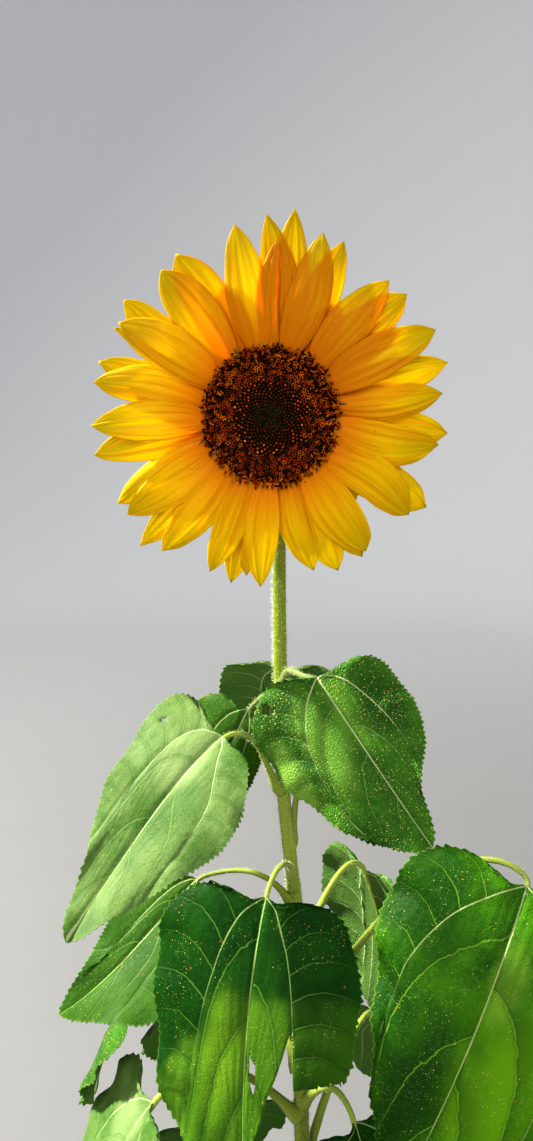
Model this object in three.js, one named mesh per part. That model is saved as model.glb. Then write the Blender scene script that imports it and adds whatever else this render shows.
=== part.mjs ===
// A sunflower plant in full bloom: one hairy stem from a flat cut at ground level to
// the nodding flower head, with a petiole and a blade for each leaf.
// Millimetres, +Z up, origin at the centre of the stem's cut at ground level.
// The flower faces -Y.
import * as THREE from 'three';

// ---------------------------------------------------------------- main sizes
const HEAD_HEIGHT = 1400;        // ground to the middle of the disc
const HEAD_X = -28.1;            // the stem leans, so the head stands beside its foot
const HEAD_Y = -45;              // and the neck carries it forwards
const HEAD_NOD = 8;              // degrees that the face looks down
const DISC_RADIUS = 33;          // the brown disc
const DISC_RISE = 4.5;           // how far the ring of open florets stands up
const DISC_HOLLOW = 3;           // how far the middle of the disc lies back
const RECEPTACLE_DEPTH = 17;     // from the disc's rim to the back of the receptacle
const RECEPTACLE_RADIUS = 29;
const PETAL_THICK = 1.0;
const BRACT_REACH = 47;          // tips of the green bracts, from the middle
const GAP = 0.4;                 // between pieces that touch in the real plant

const STEM_SIDES = 12;
const BASE_RADIUS = 8.2;         // just above the flare
const FLARE_RADIUS = 12.5;       // at the ground
const FLARE_HEIGHT = 34;
const NECK_RADIUS = 3.7;

const BLADE_THICK = 1.1;
const PETIOLE_SIDES = 6;

// ---------------------------------------------------------------- colours
const material = (r, g, b, roughness) =>
  new THREE.MeshStandardMaterial({ color: new THREE.Color(r, g, b), roughness, metalness: 0 });
const STEM_GREEN = () => material(0.25, 0.36, 0.05, 0.75);
const PETIOLE_GREEN = () => material(0.3, 0.42, 0.08, 0.7);
const LEAF_GREEN = () => material(0.08, 0.25, 0.04, 0.6);
const LEAF_PALE = () => material(0.3, 0.5, 0.16, 0.6);
const PETAL_YELLOW = () => material(0.9, 0.55, 0.01, 0.55);
const DISC_BROWN = () => material(0.09, 0.03, 0.01, 0.9);
const BRACT_GREEN = () => material(0.16, 0.32, 0.05, 0.7);

// ---------------------------------------------------------------- small helpers
const rad = (deg) => (deg * Math.PI) / 180;
const V = (x, y, z) => new THREE.Vector3(x, y, z);
const lerp = (a, b, t) => a + (b - a) * t;

// Reads a table of [position, value, value...] with straight steps between its rows.
function along(table, at) {
  let i = 0;
  while (i < table.length - 2 && at > table[i + 1][0]) i++;
  const [a, b] = [table[i], table[i + 1]];
  const t = Math.min(1, Math.max(0, (at - a[0]) / (b[0] - a[0])));
  return a.slice(1).map((v, k) => lerp(v, b[k + 1], t));
}

// A closed mesh from vertices and triangles.
function closedMesh(name, points, triangles, mat) {
  const geometry = new THREE.BufferGeometry();
  geometry.setAttribute('position', new THREE.Float32BufferAttribute(points.flatMap((p) => [p.x, p.y, p.z]), 3));
  geometry.setIndex(triangles.flat());
  const mesh = new THREE.Mesh(geometry, mat);
  mesh.name = name;
  return mesh;
}

// Rings of points joined into a tapering limb, each ring turned counter-clockwise
// about the limb's direction, with a fan over each end.
function limb(name, rings, mat) {
  const points = rings.flat();
  const n = rings[0].length;
  const triangles = [];
  for (let i = 0; i + 1 < rings.length; i++) {
    for (let k = 0; k < n; k++) {
      const a = i * n + k, b = i * n + ((k + 1) % n);
      triangles.push([a, b, b + n], [a, b + n, a + n]);
    }
  }
  const last = (rings.length - 1) * n;
  for (let k = 1; k + 1 < n; k++) {
    triangles.push([0, k + 1, k]);
    triangles.push([last, last + k, last + k + 1]);
  }
  return closedMesh(name, points, triangles, mat);
}

function ring(centre, direction, radius, sides, squash = 1, hint = V(0, 0, 1)) {
  const d = direction.clone().normalize();
  const x = hint.clone().sub(d.clone().multiplyScalar(hint.dot(d))).normalize();
  const y = d.clone().cross(x);
  const out = [];
  for (let k = 0; k < sides; k++) {
    const a = (2 * Math.PI * k) / sides;
    out.push(
      centre.clone()
        .addScaledVector(x, radius * squash * Math.cos(a))
        .addScaledVector(y, radius * Math.sin(a)),
    );
  }
  return out;
}

// ---------------------------------------------------------------- the stem
// Height, then how far the stem's middle stands from the foot, in X and Y.
const STEM_LINE = [
  [0, 0, 0],
  [300, -2.5, 2],
  [620, -4, 4.5],
  [900, -7.5, 5],
  [1040, -10, 5],
  [1100, -11.3, 5],
  [1122, -12.8, 5],
  [1140, -14.9, 4.9],
  [1159, -17.1, 4.8],
  [1177, -19, 4.6],
  [1197, -21.1, 4.4],
  [1227, -21.9, 4.2],
  [1288, -22.9, 3.9],
  [1330, -23.3, 3.6],
];
// Height and radius.
const STEM_RADII = [
  [0, FLARE_RADIUS],
  [10, 10.4],
  [FLARE_HEIGHT, BASE_RADIUS],
  [200, 7.6],
  [500, 6.6],
  [800, 5.3],
  [1000, 4.2],
  [1130, 3.6],
  [1210, 3.5],
  [1330, 3.35],
];
const stemCentre = (z) => {
  const [x, y] = along(STEM_LINE, z);
  return V(x, y, z);
};
const stemRadius = (z) => along(STEM_RADII, z)[0];

const FACE = V(0, -Math.cos(rad(HEAD_NOD)), -Math.sin(rad(HEAD_NOD)));   // the way the flower looks
const HEAD = V(HEAD_X, HEAD_Y, HEAD_HEIGHT);
const HEAD_RIGHT = V(1, 0, 0);
const HEAD_UP = FACE.clone().cross(HEAD_RIGHT).normalize();             // up the flower's face

function stem() {
  const rings = [];
  const heights = [0, 10, FLARE_HEIGHT, 90, 200, 300, 400, 500, 620, 720, 800, 900, 980, 1040, 1100, 1122, 1140, 1159, 1177, 1197, 1227, 1262, 1288, 1330];
  for (const z of heights) rings.push(ring(stemCentre(z), V(0, 0, 1), stemRadius(z), STEM_SIDES, 1, V(0, 1, 0)));
  // The neck: a bend forwards from the top of the stem into the back of the head.
  const back = HEAD.clone().addScaledVector(FACE, -(RECEPTACLE_DEPTH + GAP));
  const neck = new THREE.CubicBezierCurve3(
    stemCentre(1330),
    stemCentre(1330).add(V(-1.5, 3, 42)),
    back.clone().addScaledVector(FACE, -30),
    back,
  );
  const NECK_STEPS = 8;
  for (let i = 1; i <= NECK_STEPS; i++) {
    const t = i / NECK_STEPS;
    const radius = lerp(stemRadius(1330), NECK_RADIUS, t) + 2.6 * Math.max(0, t - 0.75) * 4 * 0.5;
    rings.push(ring(neck.getPoint(t), neck.getTangent(t), radius, STEM_SIDES, 1, V(0, 1, 0.35)));
  }
  return limb('stem', rings, STEM_GREEN());
}

// ---------------------------------------------------------------- leaf blades
// A blade's outline is given by its reach, as a share of its length, from a point 0.3 of
// the way down the midrib. The reaches are 15 degrees apart, from the tip round one side
// to the notch at the petiole.
const OVATE = [0.7, 0.6, 0.52, 0.475, 0.445, 0.425, 0.415, 0.41, 0.405, 0.395, 0.35, 0.285, 0.3];

function reach(profile, degrees) {
  const at = Math.min(11.9999, Math.max(0, degrees / 15));
  const i = Math.floor(at), t = at - i;
  const p = (k) => profile[Math.min(12, Math.max(0, k))];
  const [a, b, c, d] = [p(i - 1), p(i), p(i + 1), p(i + 2)];
  return b + 0.5 * t * (c - a + t * (2 * a - 5 * b + 4 * c - d + t * (3 * (b - c) + d - a)));
}

// The blade's bent surface. u is the way across in mm, + to the left of the midrib seen
// from above with the tip away, and v the way along from the petiole.
class Blade {
  constructor(o) {
    Object.assign(this, { bend: 30, bend2: 0, sway: 0, fold: [12, 12], curl: [38, 38] }, o);
    const a = rad(this.az), e = rad(this.el), r = rad(this.roll);
    const T = V(Math.cos(e) * Math.cos(a), Math.cos(e) * Math.sin(a), Math.sin(e));
    const S0 = V(-Math.sin(a), Math.cos(a), 0);
    const N0 = T.clone().cross(S0);
    const S = S0.clone().multiplyScalar(Math.cos(r)).addScaledVector(N0, Math.sin(r));
    const N = T.clone().cross(S);
    const L = this.length;
    const steps = 60;
    this.frames = [];
    for (let i = 0; i <= steps; i++) {
      const f = lerp(-0.4, 1.1, i / steps);
      const b = rad(this.bend) * f + rad(this.bend2) * f * Math.abs(f);
      const w = rad(this.sway) * f;
      const Tb = T.clone().multiplyScalar(Math.cos(b)).addScaledVector(N, -Math.sin(b));
      const Nb = N.clone().multiplyScalar(Math.cos(b)).addScaledVector(T, Math.sin(b));
      const Tv = Tb.clone().multiplyScalar(Math.cos(w)).addScaledVector(S, Math.sin(w));
      const Sv = S.clone().multiplyScalar(Math.cos(w)).addScaledVector(Tb, -Math.sin(w));
      this.frames.push({ v: f * L, T: Tv, S: Sv, N: Nb, C: V(0, 0, 0) });
    }
    for (let i = 1; i <= steps; i++) {
      const [p, q] = [this.frames[i - 1], this.frames[i]];
      q.C.copy(p.C).addScaledVector(p.T.clone().add(q.T), (q.v - p.v) / 2);
    }
    const zero = this.raw(0).C;
    for (const f of this.frames) f.C.sub(zero).add(this.joint);
  }

  raw(v) {
    const F = this.frames;
    const at = ((v - F[0].v) / (F[F.length - 1].v - F[0].v)) * (F.length - 1);
    const i = Math.min(F.length - 2, Math.max(0, Math.floor(at)));
    const t = at - i;
    const mix = (k) => F[i][k].clone().lerp(F[i + 1][k], t);
    return { C: mix('C'), S: mix('S').normalize(), N: mix('N').normalize(), T: mix('T').normalize() };
  }

  // The point at (u, v), and depth below the upper face.
  point(u, v, depth = 0) {
    const { C, S, N } = this.raw(v);
    const side = u >= 0 ? 0 : 1, q = u >= 0 ? 1 : -1, w = Math.abs(u);
    const f = rad(this.fold[side]), k = rad(this.curl[side]) / this.half;
    const a = (Math.sin(f) - Math.sin(f - k * w)) / k;
    const b = (Math.cos(f - k * w) - Math.cos(f)) / k;
    const turn = w < 0.01 ? 0 : f - k * w;
    const normal = N.clone().multiplyScalar(Math.cos(turn)).addScaledVector(S, -q * Math.sin(turn));
    return C.addScaledVector(S, q * a).addScaledVector(N, b).addScaledVector(normal, -depth);
  }

  edge(side, degrees) {
    const r = reach(side > 0 ? this.left : this.right, degrees) * this.length;
    return [side * r * Math.sin(rad(degrees)), 0.3 * this.length + r * Math.cos(rad(degrees))];
  }

  solid(name, mat) {
    // A flat net of the blade: rows from the midrib out to the margin.
    const net = [], faces = [];
    const keys = new Map();
    const vertex = (u, v) => {
      const key = `${u.toFixed(2)} ${v.toFixed(2)}`;
      if (!keys.has(key)) {
        keys.set(key, net.length);
        net.push([u, v]);
      }
      return keys.get(key);
    };
    const stations = [180, 165, 148, 126, 100, 76, 54, 34, 16, 0];
    const L = this.length;
    const root = (deg) => L * (0.06 + 0.94 * Math.max(0, 1 - deg / 115));
    for (const side of [1, -1]) {
      const rows = stations.map((deg) => {
        const [u, v] = deg === 180 ? [0, 0] : deg === 0 ? [0, L] : this.edge(side, deg);
        return [0, 0.55, 1].map((t) => vertex(u * t, lerp(root(deg), v, t)));
      });
      for (let i = 0; i + 1 < rows.length; i++) {
        for (let j = 0; j < 2; j++) {
          const [a, b, c, d] = [rows[i][j], rows[i][j + 1], rows[i + 1][j + 1], rows[i + 1][j]];
          for (const f of [[a, b, c], [a, c, d]]) {
            if (new Set(f).size < 3) continue;
            const [p, q, r] = f.map((k) => net[k]);
            const area = (q[0] - p[0]) * (r[1] - p[1]) - (r[0] - p[0]) * (q[1] - p[1]);
            if (Math.abs(area) < 1e-6) continue;
            faces.push(area > 0 ? f : [f[0], f[2], f[1]]);
          }
        }
      }
    }
    // Seen from above with the tip away, +u is to the left, so a face that turns
    // counter-clockwise in (u, v) looks down: it is turned over for the upper side.
    const top = net.map(([u, v]) => this.point(u, v, 0));
    const under = net.map(([u, v]) => this.point(u, v, BLADE_THICK));
    const n = net.length;
    const triangles = [];
    const border = new Map();
    for (const [a, b, c] of faces) {
      triangles.push([a, c, b], [a + n, b + n, c + n]);
      for (const [p, q] of [[a, c], [c, b], [b, a]]) {
        if (border.has(`${q} ${p}`)) border.delete(`${q} ${p}`);
        else border.set(`${p} ${q}`, [p, q]);
      }
    }
    for (const [p, q] of border.values()) triangles.push([q, p, p + n], [q, p + n, q + n]);
    return closedMesh(name, [...top, ...under], triangles, mat);
  }
}

// ---------------------------------------------------------------- petioles
// From the stem's side, rising and arching over to the joint with the blade.
function petiole(name, leaf, blade) {
  const foot = stemCentre(leaf.z);
  const out = V(Math.cos(rad(leaf.from)), Math.sin(rad(leaf.from)), 0);
  const start = foot.clone().addScaledVector(out, stemRadius(leaf.z) + GAP);
  const { T } = blade.raw(0);
  const span = start.distanceTo(blade.joint);
  const last = T.clone().add(V(0, 0, leaf.ease ?? 0.35)).normalize();
  const end = blade.joint.clone().addScaledVector(last, -2.6).addScaledVector(blade.raw(0).N, -1.4);
  const path = new THREE.CubicBezierCurve3(
    start,
    start.clone().addScaledVector(out, span * (leaf.out ?? 0.28)).add(V(0, 0, span * (leaf.up ?? 0.4))),
    end.clone().addScaledVector(last, -span * (leaf.reach ?? 0.38)),
    end,
  );
  const STEPS = 7;
  const rings = [];
  for (let i = 0; i <= STEPS; i++) {
    const t = i / STEPS;
    const r = lerp(leaf.thick ?? 2.5, (leaf.thick ?? 2.5) * 0.62, Math.sqrt(t)) * (i === 0 ? 1.25 : 1);
    const direction = i === 0 ? out : path.getTangent(t);
    rings.push(ring(path.getPoint(t), direction, r, PETIOLE_SIDES, 1, out.clone().cross(V(0, 0, 1))));
  }
  return limb(name, rings, PETIOLE_GREEN());
}

// ---------------------------------------------------------------- the leaves
// z: height of the petiole's foot; from: its bearing round the stem (0 is +X, 90 is +Y).
// joint: where petiole and blade meet. az, el, roll: how the blade's midrib sets off.
const NEAR = [
  {
    name: 'leaf_a', z: 1258, from: 300, joint: V(-4.5, -28, 1270.2), thick: 2.3, up: 0.42, out: 0.1, reach: 0.3, ease: 0.9,
    az: -31.4, el: -50.6, roll: 54.4, length: 100.6, bend: 14.4, bend2: -5.3, sway: 2.2,
    fold: [8, 8], curl: [35, 55], half: 50,
    left: [0.7, 0.455, 0.39, 0.384, 0.367, 0.345, 0.34, 0.355, 0.368, 0.365, 0.32, 0.285, 0.3],
    right: [0.7, 0.619, 0.535, 0.49, 0.468, 0.463, 0.48, 0.5, 0.499, 0.49, 0.45, 0.353, 0.3],
  },
  {
    name: 'leaf_b', z: 1197, from: 227, joint: V(-52.7, -30, 1240.2), thick: 2.2, up: 0.39, out: 0.22, reach: 0.3, ease: 0.47,
    az: -149.2, el: -32.0, roll: -19.8, length: 119.8, bend: 43.7, bend2: -53.9, sway: 21.4,
    fold: [8, 22], curl: [45, 30], half: 45, pale: true,
    left: [0.7, 0.53, 0.43, 0.375, 0.356, 0.345, 0.337, 0.33, 0.325, 0.333, 0.335, 0.3, 0.3],
    right: [0.7, 0.442, 0.36, 0.316, 0.292, 0.28, 0.285, 0.31, 0.365, 0.42, 0.37, 0.29, 0.3],
  },
  {
    name: 'leaf_c', z: 1128, from: 209, joint: V(-70, 3, 1142.5), thick: 2.1, up: 0.49, out: 0.27, reach: 0.375, ease: 0.6,
    az: -152.1, el: -40.2, roll: -19.6, length: 99.7, bend: 14.3, bend2: -44.8, sway: 2.3,
    fold: [10, 16], curl: [30, 20], half: 52, pale: true,
    left: [0.7, 0.6, 0.56, 0.53, 0.47, 0.42, 0.4, 0.39, 0.385, 0.37, 0.33, 0.288, 0.3],
    right: [0.7, 0.475, 0.37, 0.3, 0.255, 0.235, 0.235, 0.25, 0.28, 0.31, 0.3, 0.27, 0.3],
  },
  {
    name: 'leaf_d', z: 1138, from: 272, joint: V(-30.5, -46, 1160), thick: 2.1, up: 0.44, out: 0.15, reach: 0.35, ease: 0.28,
    az: -113.9, el: -57.2, roll: -7.7, length: 132.1, bend: 34.8, bend2: -17.7, sway: 10.8,
    fold: [10, 10], curl: [40, 40], half: 56,
    left: [0.7, 0.52, 0.5, 0.5, 0.457, 0.425, 0.411, 0.407, 0.409, 0.407, 0.357, 0.282, 0.3],
    right: [0.7, 0.651, 0.588, 0.509, 0.441, 0.415, 0.428, 0.436, 0.437, 0.408, 0.345, 0.276, 0.3],
  },
  {
    name: 'leaf_e', z: 1249, from: 185, joint: V(-40.7, 9, 1240.4), thick: 1.9, up: 0.1, out: 0.4, reach: 0.3, ease: 0.6,
    az: 205, el: -62, roll: -40, length: 84, bend: 20, bend2: 0, sway: 0,
    fold: [-10, 12], curl: [75, 40], half: 32, pale: true,
    left: [0.7, 0.46, 0.36, 0.3, 0.26, 0.25, 0.25, 0.25, 0.26, 0.27, 0.27, 0.26, 0.3],
    right: OVATE,
  },
  {
    name: 'leaf_f', z: 1162, from: 54, joint: V(6, 14, 1218), thick: 2.0, up: 0.71, out: 0.012, reach: 0.214, ease: 1.43,
    az: 6, el: -38, roll: 36, length: 88, bend: 24, bend2: 0, sway: 0,
    fold: [8, 8], curl: [36, 40], half: 36, left: OVATE, right: OVATE,
  },
  {
    name: 'leaf_g', z: 1050, from: 354, joint: V(104.6, -38, 1161.4), thick: 2.4, up: 0.98, out: 0.48, reach: 0.12, ease: 0.98,
    az: -130.1, el: -52.2, roll: -29.3, length: 175.9, bend: 27.1, bend2: 0, sway: -7.2,
    fold: [10, 10], curl: [38, 42], half: 60,
    left: [0.7, 0.56, 0.47, 0.42, 0.4, 0.39, 0.395, 0.405, 0.412, 0.405, 0.36, 0.288, 0.3],
    right: [0.7, 0.525, 0.425, 0.368, 0.346, 0.343, 0.363, 0.396, 0.412, 0.42, 0.376, 0.288, 0.3],
  },
];

// The rest follow one rule: a petiole of that length sets off along its bearing, and the
// blade hangs from it by droop degrees, about as wide as it is long.
// name, foot height, bearing, petiole length, blade length, droop, turn, roll
const RULED = [
  ['leaf_h', 1228, 88, 56, 108, 42, -8, 4],
  ['leaf_i', 1018, 122, 86, 146, 48, 6, -4],
  ['leaf_j', 1052, 166, 92, 124, 50, 8, 6],
  ['leaf_k', 1000, 300, 62, 146, 62, 6, 0],
  ['leaf_l', 1100, 40, 64, 138, 66, -6, 4],
  ['leaf_m', 990, 208, 110, 158, 50, -6, 4],
  ['leaf_n', 950, 58, 112, 182, 42, 8, -4],
  ['leaf_o', 896, 262, 122, 194, 54, 6, 5],
  ['leaf_p', 848, 128, 126, 204, 44, -8, 4],
  ['leaf_q', 792, 350, 132, 212, 46, 6, -5],
  ['leaf_r', 738, 206, 136, 218, 46, 4, 3],
  ['leaf_s', 676, 70, 134, 216, 46, -6, -4],
  ['leaf_t', 612, 296, 132, 212, 48, 6, 4],
  ['leaf_u', 548, 156, 128, 204, 44, -4, 4],
  ['leaf_v', 480, 20, 122, 192, 44, 6, -4],
  ['leaf_w', 410, 246, 112, 176, 42, 4, 4],
  ['leaf_x', 336, 106, 100, 154, 38, -4, 0],
  ['leaf_y', 258, 332, 84, 126, 36, 4, 2],
  ['leaf_z', 180, 196, 64, 96, 30, -4, -2],
];

function ruled([name, z, from, petioleLength, length, droop, turn, roll]) {
  const out = V(Math.cos(rad(from)), Math.sin(rad(from)), 0);
  const joint = stemCentre(z)
    .addScaledVector(out, stemRadius(z) + petioleLength * 0.82)
    .add(V(0, 0, petioleLength * 0.42));
  return {
    name, z, from, joint, az: from + turn, el: -droop, roll, length,
    thick: 2 + petioleLength / 95, bend: 34, bend2: -6, sway: turn * 0.4,
    fold: [13, 13], curl: [40, 40], half: length * 0.4, left: OVATE, right: OVATE,
  };
}

// ---------------------------------------------------------------- the flower
const faceFrame = (r, degrees, forward) =>
  HEAD.clone()
    .addScaledVector(HEAD_RIGHT, r * Math.cos(rad(degrees)))
    .addScaledVector(HEAD_UP, r * Math.sin(rad(degrees)))
    .addScaledVector(FACE, forward);

// The disc of florets, standing up towards its rim and hollow in the middle.
function disc() {
  const profile = [];
  const rim = DISC_RADIUS;
  profile.push(new THREE.Vector2(0, -3.5));
  profile.push(new THREE.Vector2(rim - 2.5, -3.5));
  profile.push(new THREE.Vector2(rim, 0));
  profile.push(new THREE.Vector2(rim - 1, 3.2));
  profile.push(new THREE.Vector2(rim * 0.8, DISC_RISE));
  profile.push(new THREE.Vector2(rim * 0.45, DISC_RISE - 2));
  profile.push(new THREE.Vector2(0, DISC_RISE - DISC_HOLLOW));
  return turned('disc_florets', profile, 28, DISC_BROWN());
}

// A round piece about the flower's axis. The profile runs from the axis to the axis, and
// its y is the way forwards.
function turned(name, profile, segments, mat) {
  const geometry = new THREE.LatheGeometry(profile, segments);
  const mesh = new THREE.Mesh(geometry, mat);
  mesh.name = name;
  mesh.quaternion.setFromUnitVectors(V(0, 1, 0), FACE);
  mesh.position.copy(HEAD);
  return mesh;
}

// The fleshy cup that carries the florets, down to the neck.
function receptacle() {
  const profile = [
    new THREE.Vector2(0, -RECEPTACLE_DEPTH),
    new THREE.Vector2(8, -RECEPTACLE_DEPTH),
    new THREE.Vector2(20, -14.5),
    new THREE.Vector2(RECEPTACLE_RADIUS, -9.5),
    new THREE.Vector2(RECEPTACLE_RADIUS + 0.5, -3.5 - GAP),
    new THREE.Vector2(0, -3.5 - GAP),
  ];
  return turned('receptacle', profile, 28, BRACT_GREEN());
}

// Bearing of each ray petal round the face (0 is +X, counter-clockwise seen from the
// front) and the reach of its tip from the middle. The whorls lie one behind the other.
const FRONT_RAYS = [
  [-177.1, 82.8], [-145.8, 82.9], [-128.9, 82.9], [-111.3, 81.5], [-93.4, 82.3], [-74.2, 77.4],
  [-54.5, 79.2], [-35.4, 81], [-9.7, 79.1], [7.5, 79], [27.8, 82.5], [48.8, 78.7], [74, 81.6],
  [100.8, 83.6], [127.2, 79.5], [148.6, 79.3], [169.2, 81.9],
];
const BACK_RAYS = [
  [-167.3, 84.8], [-159.8, 61.1], [-150.4, 83.9], [-135, 89.5], [-121, 61.5], [-103.3, 84.3],
  [-84, 57.8], [-66.3, 82.3], [-56.9, 82.1], [-46, 58.2], [-30.4, 86.4], [-21.2, 60.1], [-6, 83.2],
  [16.4, 84], [41.6, 80.4], [57.7, 57.1], [67.1, 81.7], [83.3, 89.1], [91.2, 86.4], [110.4, 60.2],
  [120.7, 81.4], [142.2, 83], [162.8, 81.9],
];

// One whorl as a single plate: a ring round the receptacle, with a petal for each ray.
function whorl(name, rays, inner, depthIn, depthOut, width) {
  const sorted = [...rays].sort((a, b) => a[0] - b[0]);
  const samples = [];
  sorted.forEach(([bearing, tip], i) => {
    const next = sorted[(i + 1) % sorted.length];
    const gap = (next[0] - bearing + 360) % 360;
    samples.push([bearing, tip]);
    const half = Math.min(gap * 0.34, width);
    samples.push([bearing + half, tip * 0.74]);
    samples.push([bearing + gap / 2, 43]);
    samples.push([bearing + gap - half, next[1] * 0.74]);
  });
  const n = samples.length;
  const points = [], triangles = [];
  const lift = (r) => depthIn + (depthOut - depthIn) * ((r - inner) / 60) ** 2 + 3.2 * Math.sin(Math.PI * Math.min(1, (r - inner) / 60));
  for (const [bearing, r] of samples) points.push(faceFrame(inner, bearing, depthIn));
  for (const [bearing, r] of samples) points.push(faceFrame(r, bearing, lift(r)));
  for (const [bearing, r] of samples) points.push(faceFrame(inner, bearing, depthIn - PETAL_THICK));
  for (const [bearing, r] of samples) points.push(faceFrame(r, bearing, lift(r) - PETAL_THICK));
  for (let i = 0; i < n; i++) {
    const j = (i + 1) % n;
    const [fi, fj, oi, oj] = [i, j, n + i, n + j];
    const [bi, bj, ui, uj] = [2 * n + i, 2 * n + j, 3 * n + i, 3 * n + j];
    triangles.push([fi, oi, oj], [fi, oj, fj]);
    triangles.push([bi, uj, ui], [bi, bj, uj]);
    triangles.push([oi, ui, uj], [oi, uj, oj]);
    triangles.push([fi, bj, bi], [fi, fj, bj]);
  }
  return closedMesh(name, points, triangles, PETAL_YELLOW());
}

// Green bracts behind the petals, as one star-shaped cup.
function bracts() {
  const COUNT = 26;
  const samples = [];
  for (let i = 0; i < COUNT; i++) {
    const bearing = (360 * i) / COUNT;
    samples.push([bearing, BRACT_REACH - (i % 3) * 3, -9.5]);
    samples.push([bearing + 180 / COUNT, 36, -10]);
  }
  const n = samples.length;
  const inner = RECEPTACLE_RADIUS + 0.5 + GAP;
  const points = [], triangles = [];
  for (const [b] of samples) points.push(faceFrame(inner, b, -6.2));
  for (const [b, r, f] of samples) points.push(faceFrame(r, b, f + 0.4));
  for (const [b] of samples) points.push(faceFrame(inner, b, -8.6));
  for (const [b, r, f] of samples) points.push(faceFrame(r, b, f - 1));
  for (let i = 0; i < n; i++) {
    const j = (i + 1) % n;
    triangles.push([i, n + i, n + j], [i, n + j, j]);
    triangles.push([2 * n + i, 3 * n + j, 3 * n + i], [2 * n + i, 2 * n + j, 3 * n + j]);
    triangles.push([n + i, 3 * n + i, 3 * n + j], [n + i, 3 * n + j, n + j]);
    triangles.push([i, 2 * n + j, 2 * n + i], [i, j, 2 * n + j]);
  }
  return closedMesh('bracts', points, triangles, BRACT_GREEN());
}

// ---------------------------------------------------------------- the plant
const plant = new THREE.Group();
plant.add(stem());
plant.add(receptacle());
plant.add(disc());
plant.add(whorl('petals_front', FRONT_RAYS, DISC_RADIUS + 0.5, -0.6, 1, 8.5));
plant.add(whorl('petals_back', BACK_RAYS, RECEPTACLE_RADIUS + 1.2, -4.2, -4.5, 8.5));
plant.add(bracts());
for (const leaf of [...NEAR, ...RULED.map(ruled)]) {
  const blade = new Blade(leaf);
  plant.add(petiole(leaf.name.replace('leaf', 'petiole'), leaf, blade));
  plant.add(blade.solid(leaf.name, leaf.pale ? LEAF_PALE() : LEAF_GREEN()));
}

export default plant;
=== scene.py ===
import math

import bpy
import numpy as np
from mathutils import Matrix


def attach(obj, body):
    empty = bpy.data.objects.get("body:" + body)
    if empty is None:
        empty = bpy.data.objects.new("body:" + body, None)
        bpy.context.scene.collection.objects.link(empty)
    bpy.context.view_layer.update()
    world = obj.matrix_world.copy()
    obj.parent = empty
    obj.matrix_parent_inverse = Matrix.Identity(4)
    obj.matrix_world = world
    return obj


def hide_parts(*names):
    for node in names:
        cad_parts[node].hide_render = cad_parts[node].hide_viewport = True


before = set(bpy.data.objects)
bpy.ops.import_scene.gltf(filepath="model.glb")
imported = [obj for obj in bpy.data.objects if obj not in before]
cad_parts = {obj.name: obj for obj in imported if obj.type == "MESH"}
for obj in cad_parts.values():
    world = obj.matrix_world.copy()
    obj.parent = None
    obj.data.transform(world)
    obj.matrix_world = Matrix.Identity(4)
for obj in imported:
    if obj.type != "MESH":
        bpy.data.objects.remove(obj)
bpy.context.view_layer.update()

# A sunflower plant in full bloom. Shapes are worked out in millimetres, in the frame's own
# axes: +Z up, the flower looks towards -Y, the origin is the cut at the stem's foot.

RNG = np.random.default_rng(20417)
MM = 0.001


def rad(deg):
    return np.radians(deg)


def unit(v):
    v = np.asarray(v, float)
    return v / np.maximum(np.linalg.norm(v, axis=-1, keepdims=True), 1e-12)


def smooth(a, b, x):
    t = np.clip((np.asarray(x, float) - a) / (b - a), 0, 1)
    return t * t * (3 - 2 * t)


def table(rows, x):
    """Reads [position, value] rows at x with straight lines between them."""
    rows = np.asarray(rows, float)
    return np.interp(x, rows[:, 0], rows[:, 1])


def catmull(values, at):
    """Catmull-Rom reading of evenly spaced values at a place counted in steps."""
    p = np.asarray(values, float)
    n = len(p)
    at = np.clip(at, 0, n - 1.0001)
    i = np.floor(at).astype(int)
    t = at - i
    g = lambda k: p[np.clip(k, 0, n - 1)]
    a, b, c, d = g(i - 1), g(i), g(i + 1), g(i + 2)
    return b + 0.5 * t * (c - a + t * (2 * a - 5 * b + 4 * c - d + t * (3 * (b - c) + d - a)))


class Noise:
    """Smooth gradient noise, about -1 to 1, the same for the same seed."""

    def __init__(self, seed):
        r = np.random.default_rng(seed)
        self.p = np.concatenate([r.permutation(256)] * 3)
        self.g = unit(r.normal(size=(256, 3)))

    def __call__(self, pts):
        pts = np.asarray(pts, float)
        i = np.floor(pts).astype(int)
        f = pts - i
        i &= 255
        w = f * f * f * (f * (f * 6 - 15) + 10)
        out = np.zeros(pts.shape[:-1])
        for dx in (0, 1):
            for dy in (0, 1):
                for dz in (0, 1):
                    h = self.p[self.p[self.p[i[..., 0] + dx] + i[..., 1] + dy] + i[..., 2] + dz]
                    d = (self.g[h] * (f - np.array([dx, dy, dz]))).sum(-1)
                    ww = np.abs(1 - dx - w[..., 0]) * np.abs(1 - dy - w[..., 1]) * np.abs(1 - dz - w[..., 2])
                    out += ww * d
        return out * 1.7


noise = Noise(5)


def noise2(x, y, z=0.0):
    x, y = np.broadcast_arrays(np.asarray(x, float), np.asarray(y, float))
    return noise(np.stack([x, y, np.full(x.shape, float(z))], -1))


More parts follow.
